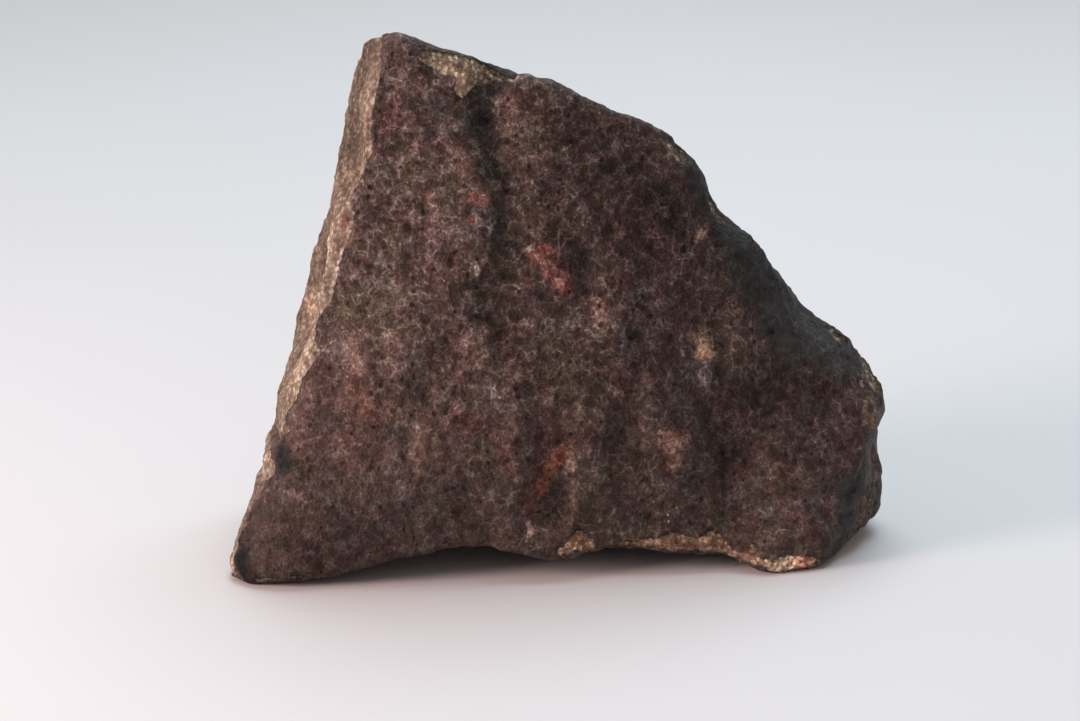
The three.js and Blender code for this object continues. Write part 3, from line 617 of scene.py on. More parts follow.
# %% [markdown]
# ## The line where the crust ends
#
# Broken crust has a ragged edge. The depth inside the broken area is shaken by noise, and where the
# sum is above zero the stone is bare. The surface and the material both call this one function, so
# the step in the surface and the change of colour fall on the same line.


# %% Shake the line
def bareness(tree, place, broken):
    """Millimetres inside the ragged broken area, less than zero on the crust."""
    coarse = wobble(tree, place, 3.5, 0.3, detail=5, roughness=0.6)
    return total(tree, broken, coarse, wobble(tree, place, 1.3, 0.45, detail=5, roughness=0.7))


print("the line swings about half a millimetre")

# %% [markdown]
# ## Pits, lumps and the crust's edge
#
# A Geometry Nodes tree moves each point of the surface along its normal. On the crust it raises low
# lumps and sinks round pits, which are cells of a Voronoi pattern with only some of them used. On
# the bare stone it goes down by the crust's thickness near the crust, which leaves a real ledge, and
# roughens.


# %% Write the helpers that every such tree starts and ends with
def new_geometry_tree(name, sizes):
    """A tree that takes a mesh, the named sizes and a material, and gives a mesh."""
    tree = bpy.data.node_groups.new(name, "GeometryNodeTree")
    tree.interface.new_socket("Geometry", in_out="INPUT", socket_type="NodeSocketGeometry")
    for size_name, value in sizes.items():
        socket = tree.interface.new_socket(size_name, in_out="INPUT", socket_type="NodeSocketFloat")
        socket.default_value = value
    tree.interface.new_socket("Material", in_out="INPUT", socket_type="NodeSocketMaterial")
    tree.interface.new_socket("Geometry", in_out="OUTPUT", socket_type="NodeSocketGeometry")
    given = put(tree, "NodeGroupInput").outputs
    return tree, given, in_millimetres(tree, put(tree, "GeometryNodeInputPosition").outputs[0])


def stored(tree, name):
    return put(tree, "GeometryNodeInputNamedAttribute", {"Name": name}, data_type="FLOAT").outputs[0]


def finish_tree(tree, shape, material):
    smooth = put(tree, "GeometryNodeSetShadeSmooth", {"Geometry": shape}).outputs[0]
    realized = put(tree, "GeometryNodeRealizeInstances", {"Geometry": smooth}).outputs[0]
    finished = put(tree, "GeometryNodeSetMaterial", {"Geometry": realized, "Material": material})
    put(tree, "NodeGroupOutput", {"Geometry": finished.outputs[0]})


def run_tree(carrier, tree, material, name):
    """Runs the tree as a modifier, and keeps only the plain mesh that it gives."""
    modifier = carrier.modifiers.new(name, "NODES")
    modifier.node_group = tree
    sockets = tree.interface.items_tree
    identifier = next(s.identifier for s in sockets if s.name == "Material")
    modifier[identifier] = material
    made = plain_mesh_of(carrier, name)
    bpy.data.objects.remove(carrier)
    return made


print("tree helpers ready")


# %% Build the relief tree
def relief_tree():
    sizes = {
        "Crust thickness": 0.5,
        "Swell height": 0.3,
        "Lump height": 0.32,
        "Fine lump height": 0.1,
        "Pit depth": 0.45,
        "Bare roughness": 0.4,
    }
    tree, given, place = new_geometry_tree("crust relief", sizes)
    bare_depth = bareness(tree, place, stored(tree, "broken"))
    bare = ramp(tree, bare_depth, -0.15, 0.3)

    swells = product(tree, wobble(tree, place, 7, 1, detail=1), given["Swell height"])
    lumps = product(tree, wobble(tree, place, 3.2, 1, detail=2), given["Lump height"])
    fine_lumps = product(tree, wobble(tree, place, 1.2, 1, detail=2), given["Fine lump height"])
    pit_cells = cells(tree, place, 3.0).outputs
    bowl = ramp(tree, pit_cells["Distance"], 0.12, 0.3, 1, 0)
    chosen = ramp(tree, split(tree, pit_cells["Color"])[0], 0.5, 0.75)
    pits = product(tree, bowl, chosen, given["Pit depth"])
    crust_height = maths(tree, "SUBTRACT", total(tree, swells, lumps, fine_lumps), pits)

    rough = wobble(tree, place, 2.6, 1, detail=5, roughness=0.65)
    ledge = product(tree, ramp(tree, bare_depth, 0.3, 2.6, 1, 0.1), given["Crust thickness"])
    bare_height = maths(tree, "SUBTRACT", product(tree, rough, given["Bare roughness"]), ledge)
    height = total(tree, blend(tree, bare, crust_height, bare_height), stored(tree, "shaped"))

    normal = put(tree, "GeometryNodeInputNormal").outputs[0]
    offset = vectors(tree, "SCALE", normal, scale=product(tree, height, MM))[0]
    moved = put(tree, "GeometryNodeSetPosition", {"Geometry": given["Geometry"], "Offset": offset})

    # nothing goes below what the stone stands on
    spot = put(tree, "GeometryNodeInputPosition").outputs[0]
    above = vectors(tree, "MAXIMUM", spot, (-1, -1, 0))[0]
    seated = put(tree, "GeometryNodeSetPosition", {"Geometry": moved.outputs[0], "Position": above})
    finish_tree(tree, seated.outputs[0], given["Material"])
    return tree


print("relief tree ready")

# %% [markdown]
# ## The material: colour first, then light and dark
#
# One material covers the whole stone. Crust and bare stone are both mottled at every size, from
# specks of a fifth of a millimetre to patches as wide as a finger. It is easiest to think of the hue
# and of the light and dark apart. The hue comes from a few colours laid over each other in patches.
# The light and dark is counted in stops: each stop up doubles the brightness. Stains only change the
# hue, so the fine pattern runs on through them, as it does on a real stone.

# %% Name the colours
CRUST_BROWN = (0.059, 0.0325, 0.0265, 1)
CRUST_OLIVE = (0.0515, 0.0345, 0.0235, 1)
CRUST_RED = (0.066, 0.029, 0.025, 1)
CRUST_VIOLET = (0.0505, 0.0315, 0.0305, 1)
CHARCOAL = (0.025, 0.023, 0.0215, 1)
BLUE_CHARCOAL = (0.027, 0.0255, 0.026, 1)
CRACK_DUST = (0.0565, 0.037, 0.0325, 1)
DARK_RED = (0.062, 0.022, 0.02, 1)
ORANGE_STREAK = (0.2, 0.06, 0.03, 1)
RED_RUST = (0.114, 0.036, 0.03, 1)
ORANGE_RUST = (0.15, 0.052, 0.034, 1)
SPOT_ORANGE = (0.2, 0.105, 0.078, 1)
CRUST_TAN = (0.25, 0.155, 0.1, 1)
END_BROWN = (0.135, 0.084, 0.052, 1)
GREY_DUST = (0.065, 0.05, 0.047, 1)
TAN = (0.245, 0.185, 0.133, 1)
OLIVE_TAN = (0.205, 0.165, 0.105, 1)
PINK_TAN = (0.25, 0.17, 0.135, 1)
BROWN_STONE = (0.11, 0.066, 0.045, 1)
PALE_TAN = (0.36, 0.3, 0.235, 1)
GREY_TAN = (0.215, 0.178, 0.137, 1)
GREY_STONE = (0.15, 0.125, 0.105, 1)
ORANGE_STONE = (0.24, 0.115, 0.06, 1)
RUSTY_STONE = (0.27, 0.105, 0.065, 1)
WARM_STONE = (0.42, 0.285, 0.175, 1)
CREAM_STONE = (0.6, 0.48, 0.34, 1)
WHITE_STONE = (0.6, 0.53, 0.42, 1)
print("colours named")


# %% Write the helpers that lay colours
def new_material(name):
    """An empty material, its tree, and the place on the object in millimetres."""
    material = bpy.data.materials.new(name)
    material.use_nodes = True
    tree = material.node_tree
    tree.nodes.clear()
    return material, tree, in_millimetres(tree, put(tree, "ShaderNodeTexCoord").outputs["Object"])


def finish_material(tree, feeds):
    shader = put(tree, "ShaderNodeBsdfPrincipled", feeds)
    put(tree, "ShaderNodeOutputMaterial", {"Surface": shader.outputs[0]})


def painted(tree, name):
    """An attribute of the mesh, as the shader sees it."""
    return put(tree, "ShaderNodeAttribute", attribute_name=name).outputs["Fac"]


def tint(tree, share, under, over):
    """The under colour, with a share of the over colour laid on it."""
    feeds = {0: share, 6: under, 7: over}
    return put(tree, "ShaderNodeMix", feeds, data_type="RGBA").outputs[2]


def patches(tree, place, size, amount, low=0.45, high=0.62):
    """Soft-edged patches about `size` millimetres wide, with `amount` at their middles."""
    return ramp(tree, noise(tree, place, size, 3), low, high, 0, amount)


def brightened(tree, colour, stops):
    """The colour, as many stops lighter, or darker below zero."""
    return vectors(tree, "SCALE", colour, scale=maths(tree, "POWER", 2.0, stops))[0]


ONE_STOP = (1.87, 2.12, 2.16)  # what one stop of mottling does to red, green and blue


def mottled(tree, colour, stops):
    """The colour, lighter or darker. Dust greys the light specks, and rust reddens the dark ones."""
    times = [maths(tree, "POWER", one_stop, stops) for one_stop in ONE_STOP]
    times = put(tree, "ShaderNodeCombineXYZ", dict(enumerate(times))).outputs[0]
    return vectors(tree, "MULTIPLY", colour, times)[0]


def random_of(tree, cell_node):
    """Two random numbers for each cell."""
    return split(tree, cell_node.outputs["Color"])[:2]


print("helpers for colours ready")

# %% [markdown]
# ## Stains
#
# Rust bled out of metal grains in a few named spots. Charcoal is painted as shade in the groove, at
# the corner by the floor and in the fold at the right end. Along the top edge it is partly the crust's
# own colour and partly painted shade, and it also darkens the left notch. Each stain runs along a
# short
# line, and its rim is frayed: the distance from the line is shaken by noise before it fades out. More
# noise wears it thin in specks.

# %% Name the stains
CRUST_STAINS = {  # start, end and radius in millimetres, colour and strength
    "red_spot": ((-3.2, -15, 53.3), (-0.2, -15.3, 49), 2.5, RED_RUST, 1),
    "red_spot_head": ((-4.2, -15.2, 53.4), (-1.5, -14.6, 52.6), 1.5, ORANGE_RUST, 0.35),
    "red_spot_tail": ((-0.9, -15.3, 49.7), (1.1, -15.4, 47.4), 1.4, RED_RUST, 0.8),
    "red_high": ((15.4, -10, 55.1), (16.9, -10.8, 53), 1.5, DARK_RED, 0.9),
    "red_high_wide": ((11.3, -10.9, 57.7), (16.6, -11, 52.7), 3.7, DARK_RED, 0.5),
    "red_high_low": ((8.5, -14.3, 48.6), (11.9, -13.5, 48.4), 1.2, DARK_RED, 0.9),
    "red_upper_low": ((4.7, -15.2, 45.6), (6.3, -15.5, 44.9), 2.4, RED_RUST, 0.12),
    "red_upper_left": ((-1.9, -13.6, 58.7), (0.1, -13.2, 55.6), 1.7, DARK_RED, 0.5),
    "red_fleck_top": ((-28.5, -15, 75.3), (-28, -15.1, 74.3), 1.2, DARK_RED, 0.9),
    "red_fleck_top_two": ((-27.2, -14.2, 78.4), (-26.4, -14.3, 77.4), 0.8, DARK_RED, 0.6),
    "red_fleck_left": ((-29.6, -16.1, 70.9), (-29.3, -16.2, 70.3), 1, DARK_RED, 0.8),
    "red_fleck_low": ((-23.6, -14.4, 71.7), (-22.9, -14.4, 70.7), 1, DARK_RED, 0.7),
    "red_groove": ((-14.1, -15.2, 62.6), (-12.9, -14.6, 62.3), 1.2, RED_RUST, 0.8),
    "red_groove_low": ((-14.9, -16.7, 59.4), (-14.2, -16.6, 58.8), 0.8, RED_RUST, 0.6),
    "red_left": ((-42.6, -24.2, 24.9), (-35.3, -24.3, 24.5), 1.5, DARK_RED, 0.4),
    "orange_left": ((-33.5, -23.8, 33.5), (-32.4, -24.1, 30.4), 2, ORANGE_RUST, 0.22),
    "orange_left_low": ((-31.4, -24.2, 29.5), (-27.9, -24, 28.8), 2, ORANGE_RUST, 0.15),
    "red_left_middle": ((-16.5, -23.6, 28.3), (-14.3, -23.9, 26), 1.5, RED_RUST, 0.6),
    "red_middle_dot": ((-17.2, -21.1, 35.1), (-16.2, -21.5, 34.2), 0.8, DARK_RED, 0.7),
    "red_middle_high": ((-12.3, -19.5, 40.7), (-10, -19.2, 39.6), 1.4, DARK_RED, 0.6),
    "red_low_left": ((-10.7, -23.1, 25.8), (-8.1, -23.8, 19.2), 1.5, RED_RUST, 0.35),
    "red_right": ((28.9, -16.3, 15.8), (33.9, -15.7, 20.7), 1.7, DARK_RED, 0.6),
    "red_right_two": ((36.4, -16, 18.7), (38.4, -16, 17.3), 1.4, DARK_RED, 0.6),
    "red_right_high": ((26.4, -14, 28.2), (30.5, -14.3, 25.7), 2, DARK_RED, 0.5),
    "red_right_end": ((42.5, -9.6, 29.5), (43.7, -9.7, 28.2), 1.4, DARK_RED, 0.7),
    "red_end": ((46.3, -12.5, 21.3), (46.9, -12.7, 20.3), 1.2, DARK_RED, 0.7),
    "red_foot": ((38.4, -18.1, 9.4), (42.3, -18.3, 6.8), 2, RED_RUST, 0.35),
    "red_foot_side": ((44.3, -14.8, 11.3), (45.4, -15.5, 7.3), 1, RED_RUST, 0.5),
    "red_centre": ((6.3, -18, 35.3), (10.5, -17.9, 31.9), 2.4, DARK_RED, 0.4),
    "red_centre_low": ((2.2, -20, 29.1), (4.7, -20.5, 23.3), 2, DARK_RED, 0.4),
    "red_shoulder": ((21.2, -10.1, 53.7), (23.6, -9.1, 55.6), 1.7, DARK_RED, 0.5),
    "streak_halo": ((-0.5, -19.9, 23.1), (-4.5, -23.2, 13.8), 2.7, DARK_RED, 0.8),
    "streak": ((0.1, -19.9, 21.3), (-3.8, -22.7, 14.6), 1.2, ORANGE_STREAK, 0.9),
    "streak_tail": ((-4.2, -22.9, 14.4), (-5.5, -23.8, 11.2), 0.7, DARK_RED, 1),
    "orange_fleck": ((1.3, -20, 20.5), (1.4, -20.4, 18.6), 1, SPOT_ORANGE, 0.95),
    "green_fleck": ((2.3, -20.3, 19.4), (2.4, -20.4, 18.7), 0.5, OLIVE_TAN, 0.5),
    "pale_grain": ((-5.3, -24, 9.9), (-5, -24.3, 8.6), 0.6, PINK_TAN, 0.6),
    "high_fleck": ((4.2, -9.5, 67.8), (6, -8.9, 68.2), 0.8, SPOT_ORANGE, 0.55),
    "shoulder_fleck": ((23, -9.4, 55), (23.9, -8.5, 56.5), 0.7, CRUST_TAN, 0.8),
    "shoulder_brown": ((17.6, -5.7, 70), (19.6, -6.3, 67.8), 1.4, CRUST_TAN, 0.45),
    "tan_high": ((23.4, -13.8, 38.1), (23.7, -14.1, 36.8), 2, CRUST_TAN, 1),
    "tan_low": ((17.4, -19, 23.1), (20.1, -18.1, 22.5), 1.7, SPOT_ORANGE, 0.9),
    "tan_low_tail": ((18.8, -18.8, 22.4), (18.8, -19.1, 19), 1.7, SPOT_ORANGE, 0.9),
    "pale_fleck": ((-13.9, -18.3, 51.8), (-13.6, -18.4, 51.2), 0.6, PALE_TAN, 0.7),
    "white_fleck_left": ((13.4, -20.6, 10.1), (13.5, -20.6, 10.1), 0.2, WHITE_STONE, 0.6),
    "white_fleck_right": ((17.5, -20.6, 10.5), (17.7, -20.6, 10.3), 0.2, WHITE_STONE, 0.6),
    "white_fleck_low": ((17.8, -20.7, 9.3), (17.8, -20.8, 9.1), 0.2, WHITE_STONE, 0.6),
    "violet_patch": ((-21.6, -13.3, 78.5), (-18.7, -12.8, 76.8), 2, GREY_DUST, 0.5),
    "violet_low": ((21.2, -15.6, 33.8), (25, -14, 29.9), 2.4, GREY_DUST, 0.3),
    "violet_foot": ((-37, -26.6, 12.3), (-34.6, -27.4, 7.4), 3, CRUST_VIOLET, 0.7),
    "olive_middle": ((-11.6, -16.2, 55.2), (-8.7, -15.9, 50.9), 2, CRUST_OLIVE, 0.9),
    "olive_high": ((-5.9, -13.1, 62), (-1, -13.6, 57), 2.7, CRUST_OLIVE, 0.8),
    "olive_centre": ((-2.2, -18.1, 36.2), (3.1, -19.4, 31.2), 4.4, CRUST_OLIVE, 0.7),
    "olive_low": ((-14.9, -24.4, 24.5), (-13.3, -24.1, 19.2), 2, CRUST_OLIVE, 0.5),
    "warm_upper": ((6.3, -9.8, 64.5), (14.6, -12, 51.6), 12.7, CRUST_RED, 0.4),
    "warm_centre": ((-13.3, -19.1, 46.7), (-6.8, -21.1, 26.9), 10.1, CRUST_RED, 0.25),
    "warm_end": ((48.2, -7.4, 28.8), (50.4, -11.1, 20.3), 4.7, CRUST_RED, 0.9),
    "end_rim": ((51.1, -0.1, 30.7), (52.9, -3.3, 27.1), 1.5, END_BROWN, 1),
    "end_lens": ((51.9, -6.9, 25.7), (51.9, -9.2, 22.5), 1.7, END_BROWN, 1),
    "end_speck": ((50.7, -5, 28.6), (50.8, -5.5, 28.1), 0.4, WHITE_STONE, 0.6),
    "end_lens_low": ((51.2, -8.4, 8.8), (50.8, -9.2, 4.4), 1.2, END_BROWN, 0.8),
    # Painted shade: blue charcoal in the fold at the right end, and charcoal in the groove.
    "end_fold": ((48.9, -12.2, 12.2), (47.3, -14.2, 2.2), 1.4, BLUE_CHARCOAL, 0.6),
    "groove": ((-12.8, -9.7, 79.2), (-13.6, -11.5, 74.6), 2.7, CHARCOAL, 0.4),
    "groove_low": ((-12.1, -10.9, 73.9), (-11.5, -12, 66.4), 1.7, CHARCOAL, 0.6),
    # Charcoal darkens the left notch.
    "left_notch": ((-46.8, -21.3, 23), (-45.3, -24.2, 20), 1.9, CHARCOAL, 0.95),
    # Painted shadow in the corner where the stone meets the floor.
    "corner_painted_shadow": ((-52.6, -24.1, 4.3), (-51.9, -25.4, 2.7), 1.4, CHARCOAL, 1),
    # The end slope and the top edge: partly the crust's own charcoal, partly painted shade.
    "shoulder_pale": ((42, -8, 35.4), (46.8, -7, 31.3), 3, BLUE_CHARCOAL, 0.7),
    "top_band": ((-31, -5, 88.5), (3, -6, 80.5), 2.2, CHARCOAL, 0.8),
}
STONE_STAINS = {  # for the bare stone
    "top_chip": ((-19, -11.5, 84), (-13, -11, 81), 7, WARM_STONE, 0.9),
    "foot_orange": ((0, -24, 5), (34, -21, 4), 7, ORANGE_STONE, 0.7),
    "foot_rust": ((27, -20, 3.5), (34, -21.5, 2.5), 2, BROWN_STONE, 0.8),
    "foot_cream": ((35.5, -21.7, 1.4), (38.6, -20.6, 2), 2, CREAM_STONE, 0.9),
    "foot_red": ((40.2, -19.8, 2), (41.5, -19.4, 1), 1.6, RUSTY_STONE, 0.9),
    "left_face": ((-33, -8, 82), (-52, -8, 5), 24, GREY_TAN, 0.7),
    "left_cream": ((-38, -18, 52), (-44, -19, 36), 5, PALE_TAN, 0.55),
    "left_pale": ((-47, -20, 21), (-49, -18, 17.5), 3.5, PALE_TAN, 0.9),
    "left_grey": ((-50, -20, 14), (-53, -22, 3), 7, PALE_TAN, 0.4),
    "end_rim": ((50, -2, 32), (53, -2, 27), 4, END_BROWN, 0.6),
    "left_red": ((-35.3, -18.4, 60), (-35.3, -18.4, 59), 1.2, RED_RUST, 0.7),
    "left_red_high": ((-31.5, -14.5, 76), (-31.6, -14.5, 75), 1.0, RED_RUST, 0.5),
    "end_grey": ((50, -8, 0), (50, -8, 60), 12, GREY_STONE, 0.3),
}


# %% Lay stains
def stain_share(tree, place, frayed, start, end, radius):
    """1 along the middle of a stain, fading to 0 at its ragged rim."""
    line = np.subtract(end, start)
    away = vectors(tree, "SUBTRACT", place, start)[0]
    along = vectors(tree, "DOT_PRODUCT", away, line / (line @ line))["Value"]
    share = put(tree, "ShaderNodeClamp", {"Value": along}).outputs[0]
    nearest = vectors(tree, "SCALE", line, scale=share)[0]
    gap = vectors(tree, "DISTANCE", away, nearest)["Value"]
    return ramp(tree, maths(tree, "MULTIPLY_ADD", gap, 1 / radius, frayed), 0.65, 1.1, 1, 0)


def stained(tree, place, colour, stains):
    frayed = wobble(tree, place, 1.2, 0.6, detail=4, roughness=0.65)
    worn = ramp(tree, noise(tree, place, 0.7, 4, 0.6), 0.36, 0.55, 0.5, 1)
    for start, end, radius, stain, strength in stains.values():
        share = product(tree, stain_share(tree, place, frayed, start, end, radius), worn, strength)
        colour = tint(tree, share, colour, stain)
    return colour


print(len(CRUST_STAINS) + len(STONE_STAINS), "stains")

# %% [markdown]
# ## The craze
#
# As the melt cooled it shrank and cracked into cells about two millimetres wide, as a glaze does, and
# pale dust has filled the cracks. The edges of Voronoi cells give such a net. The place is bent by
# noise first, so that the lines wander, and more noise breaks the net up, so that it is dense in one
# spot and gone in the next. Curling hairs, where soft noise passes through its middle value, lie
# between the cells.


# %% Draw the craze
def bent(tree, place, size, amount):
    """The place, pushed about by noise, which turns straight lines into wandering ones."""
    feeds = {"Vector": place, "Scale": 1 / size, "Detail": 3.0}
    push = put(tree, "ShaderNodeTexNoise", feeds).outputs["Color"]
    centred = vectors(tree, "SUBTRACT", push, (0.5,) * 3)[0]
    return vectors(tree, "MULTIPLY_ADD", centred, (4 * amount,) * 3, place)[0]


def net(tree, place, cell_size, width):
    """1 on the edge between two cells, 0 off it."""
    edge = cells(tree, place, cell_size, "DISTANCE_TO_EDGE").outputs["Distance"]
    return ramp(tree, edge, 0, width / cell_size, 1, 0)


def hairs(tree, place, size, width):
    away = maths(tree, "ABSOLUTE", maths(tree, "SUBTRACT", noise(tree, place, size, 1), 0.5))
    return ramp(tree, away, 0, width, 1, 0)


def craze(tree, place, wandering):
    wide = product(tree, net(tree, wandering, 2.0, 0.2), patches(tree, place, 1.6, 0.9, 0.42, 0.6))
    fine = product(tree, net(tree, wandering, 1.0, 0.13), patches(tree, place, 2.2, 0.6, 0.46, 0.64))
    curls = hairs(tree, wandering, 1.1, 0.02)
    curls = product(tree, curls, patches(tree, place, 1.9, 0.3, 0.46, 0.62))
    return maths(tree, "MAXIMUM", maths(tree, "MAXIMUM", wide, fine), curls)


print("craze ready")

# %% [markdown]
# ## The crust's colour
#
# Purplish brown, with patches of greenish grey, dark red and violet grey. Its light and dark adds up
# from specks, mottles and patches of five sizes, the cells of the craze, which are darker in the
# middle, the pale cracks, and small round pits.


# %% Colour the crust
def crust_hue(tree, place):
    hue = tint(tree, patches(tree, place, 9, 0.75, 0.42, 0.6), CRUST_BROWN, CRUST_OLIVE)
    hue = tint(tree, patches(tree, place, 6, 0.65, 0.46, 0.62), hue, CRUST_VIOLET)
    hue = tint(tree, patches(tree, place, 4, 0.5, 0.5, 0.68), hue, CRUST_RED)
    hue = tint(tree, patches(tree, place, 2.2, 0.35, 0.46, 0.64), hue, CRUST_OLIVE)
    return stained(tree, place, hue, CRUST_STAINS)


def crust_stops(tree, place, wandering, shoulder, cracks, pits):
    mottles = total(
        tree,
        wobble(tree, place, 0.45, 1.0, 4, 0.7),
        wobble(tree, place, 1.1, 0.8, 3, 0.6),
        wobble(tree, place, 2.4, 0.55, 2),
        wobble(tree, place, 5.5, 0.3, 2),
        wobble(tree, place, 12, 0.2, 1),
    )
    cell = cells(tree, wandering, 2.0)
    own = ramp(tree, random_of(tree, cell)[0], 0, 1, -0.25, 0.25)
    bowl = ramp(tree, cell.outputs["Distance"], 0.1, 0.65, -0.15, 0.15)
    patterned = total(tree, mottles, own, bowl, product(tree, cracks, 1.05), product(tree, pits, -1.3))
    along, _, height = split(tree, place)
    upwards = ramp(tree, height, 12, 56, 1.0, 1.3)
    rightwards = ramp(tree, along, -30, 0, 0.98, 1.14)
    return product(tree, patterned, upwards, rightwards, ramp(tree, shoulder, 0, 1, 1, 0.65))


def crust_pits(tree, place):
    cell = cells(tree, bent(tree, place, 0.8, 0.15), 1.7)
    size = ramp(tree, cell.outputs["Distance"], 0.12, 0.3, 1, 0)
    return product(tree, size, ramp(tree, random_of(tree, cell)[0], 0.55, 0.7))


def crust_colour(tree, place, bare_depth, shoulder, pits):
    wandering = bent(tree, bent(tree, place, 3, 0.35), 0.8, 0.09)
    cracks = product(tree, craze(tree, place, wandering), ramp(tree, shoulder, 0, 1, 1, 0.5))
    edge = product(tree, ramp(tree, bare_depth, -0.8, -0.1), patches(tree, place, 2.5, 0.9, 0.4, 0.6))
    # the shoulder and the fold turn blue charcoal: partly the thin melt's colour, partly painted shade
    hue = tint(tree, product(tree, shoulder, 0.75), crust_hue(tree, place), BLUE_CHARCOAL)
    hue = tint(tree, edge, hue, CHARCOAL)
    hue = tint(tree, product(tree, cracks, 0.5), hue, CRACK_DUST)
    stops = crust_stops(tree, place, wandering, shoulder, cracks, pits)
    return mottled(tree, hue, total(tree, stops, product(tree, edge, -0.4)))


print("crust colour ready")

# %% [markdown]
# ## The bare stone's colour
#
# Inside, the stone is tan, in a mix of olive, pink and brown. It is packed with grains a little less
# than a millimetre wide, each with its own tone, and dark in the gaps between them. The crust's broken
# edge is pale. The chips are fresh, and the pattern is strongest there.


# %% Colour the bare stone
LEAST_FRESH = 0.7


def fresh_share(tree, place):
    """The chips are fresh and coarse. The big broken face, at the far left, is worn smoother."""
    return ramp(tree, split(tree, place)[0], -28, -24, LEAST_FRESH, 1)


def stone_pits(tree, place):
    cell = cells(tree, bent(tree, place, 0.8, 0.15), 1.3)
    size = ramp(tree, cell.outputs["Distance"], 0.1, 0.38, 1, 0)
    return product(tree, size, ramp(tree, random_of(tree, cell)[0], 0.4, 0.6))


def stone_hue(tree, place, grain):
    first, second = random_of(tree, grain)
    hue = tint(tree, patches(tree, place, 2.6, 0.8), TAN, OLIVE_TAN)
    hue = tint(tree, patches(tree, place, 3.4, 0.8, 0.5, 0.62), hue, PINK_TAN)
    hue = tint(tree, patches(tree, place, 2.2, 0.7, 0.54, 0.66), hue, BROWN_STONE)
    hue = tint(tree, ramp(tree, first, 0.7, 0.95, 0, 0.3), hue, PALE_TAN)
    hue = tint(tree, ramp(tree, second, 0.7, 0.95, 0, 0.4), hue, BROWN_STONE)
    return stained(tree, place, hue, STONE_STAINS)


def stone_colour(tree, place, bare_depth, grain, fresh):
    lip = product(tree, ramp(tree, bare_depth, 0.05, 0.25), ramp(tree, bare_depth, 0.6, 1.1, 1, 0))
    hue = tint(tree, product(tree, lip, 0.25), stone_hue(tree, place, grain), PALE_TAN)
    pits = product(tree, stone_pits(tree, place), fresh)
    hue = tint(tree, product(tree, pits, 0.7), hue, BROWN_STONE)
    from_grain = grain.outputs["Distance"]
    gaps = product(tree, ramp(tree, from_grain, 0.3, 0.6, 0, 0.4), fresh)
    hue = tint(tree, gaps, hue, BROWN_STONE)
    fine = total(
        tree,
        wobble(tree, place, 0.4, 0.6, 3, 0.6),
        wobble(tree, place, 1.4, 0.8, 3),
        ramp(tree, from_grain, 0.2, 0.6, 0.3, -0.8),
        product(tree, pits, -0.8),
    )
    blotches = wobble(tree, place, 3.5, 0.9, 4, 0.6)
    worn = ramp(tree, fresh, LEAST_FRESH, 1, -0.1, 0)
    stops = total(tree, product(tree, fine, fresh), blotches, worn, product(tree, lip, 0.15))
    return mottled(tree, hue, stops)


print("bare stone colour ready")


# %% Build the stone's material
def stone_material():
    material, tree, place = new_material("chondrite")
    bare_depth = bareness(tree, place, painted(tree, "broken"))
    bare = ramp(tree, bare_depth, -0.04, 0.08)
    shoulder = total(tree, painted(tree, "shoulder"), wobble(tree, place, 4, 1.3, 4))
    shoulder = ramp(tree, shoulder, -1.2, 1.8)
    pits = crust_pits(tree, place)
    grain = cells(tree, bent(tree, bent(tree, place, 2.5, 0.35), 0.6, 0.13), 0.9)
    fresh = fresh_share(tree, place)
    crust = crust_colour(tree, place, bare_depth, shoulder, pits)
    colour = tint(tree, bare, crust, stone_colour(tree, place, bare_depth, grain, fresh))
    # the forms' shades: partly the crust's own tone, partly painted light and shade
    colour = brightened(tree, colour, painted(tree, "shade"))

    # crust is satin in patches, bare stone is dull
    satin = ramp(tree, noise(tree, place, 5, 3), 0.35, 0.65, 0.5, 0.75)
    rough = blend(tree, bare, satin, 0.9)

    # fine relief that is too small for the mesh
    crust_relief = total(
        tree,
        wobble(tree, place, 0.55, 0.11, 3, 0.6),
        wobble(tree, place, 1.8, 0.2, 2),
        product(tree, pits, -0.2),
    )
    domes = ramp(tree, grain.outputs["Distance"], 0, 0.6, 0.1, 0)
    stone_relief = product(tree, total(tree, wobble(tree, place, 0.5, 0.08, 4, 0.6), domes), fresh)
    relief = blend(tree, bare, crust_relief, stone_relief)
    bump = put(tree, "ShaderNodeBump", {"Height": relief, "Distance": MM, "Strength": 1.0})
    shine = {"Roughness": rough, "Specular IOR Level": 0.25}
    finish_material(tree, {"Base Color": colour, "Normal": bump.outputs[0], **shine})
    return material


chondrite = stone_material()
print("chondrite material:", len(chondrite.node_tree.nodes), "nodes")

# %% [markdown]
# ## Dress the stone
#
# The tree runs as a modifier on the even surface. The result is taken as a plain mesh, and the
# helper object is thrown away.

# %% Run the relief tree
stone = run_tree(surface, relief_tree(), chondrite, "fusion_crusted_stone")
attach(stone, "root")
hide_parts("meteorite")

# %% [markdown]
# ## Grains on the bare stone
#
# Chondrules are beads half a millimetre wide that stand out of the matrix where it broke. Hundreds
# of small balls are scattered on the broken faces by a second tree. Each gets its own size and
# turn, and a random tone that the grains' material reads. Most of each is sunk in the stone, so
# that only a low dome shows.


# %% Scatter the grains
def random_number(tree, low, high, seed):
    feeds = {2: low, 3: high, "Seed": seed}
    return put(tree, "FunctionNodeRandomValue", feeds, data_type="FLOAT").outputs[1]


def random_turn(tree, seed):
    feeds = {0: (0, 0, 0), 1: (math.tau,) * 3, "Seed": seed}
    return put(tree, "FunctionNodeRandomValue", feeds, data_type="FLOAT_VECTOR").outputs[0]


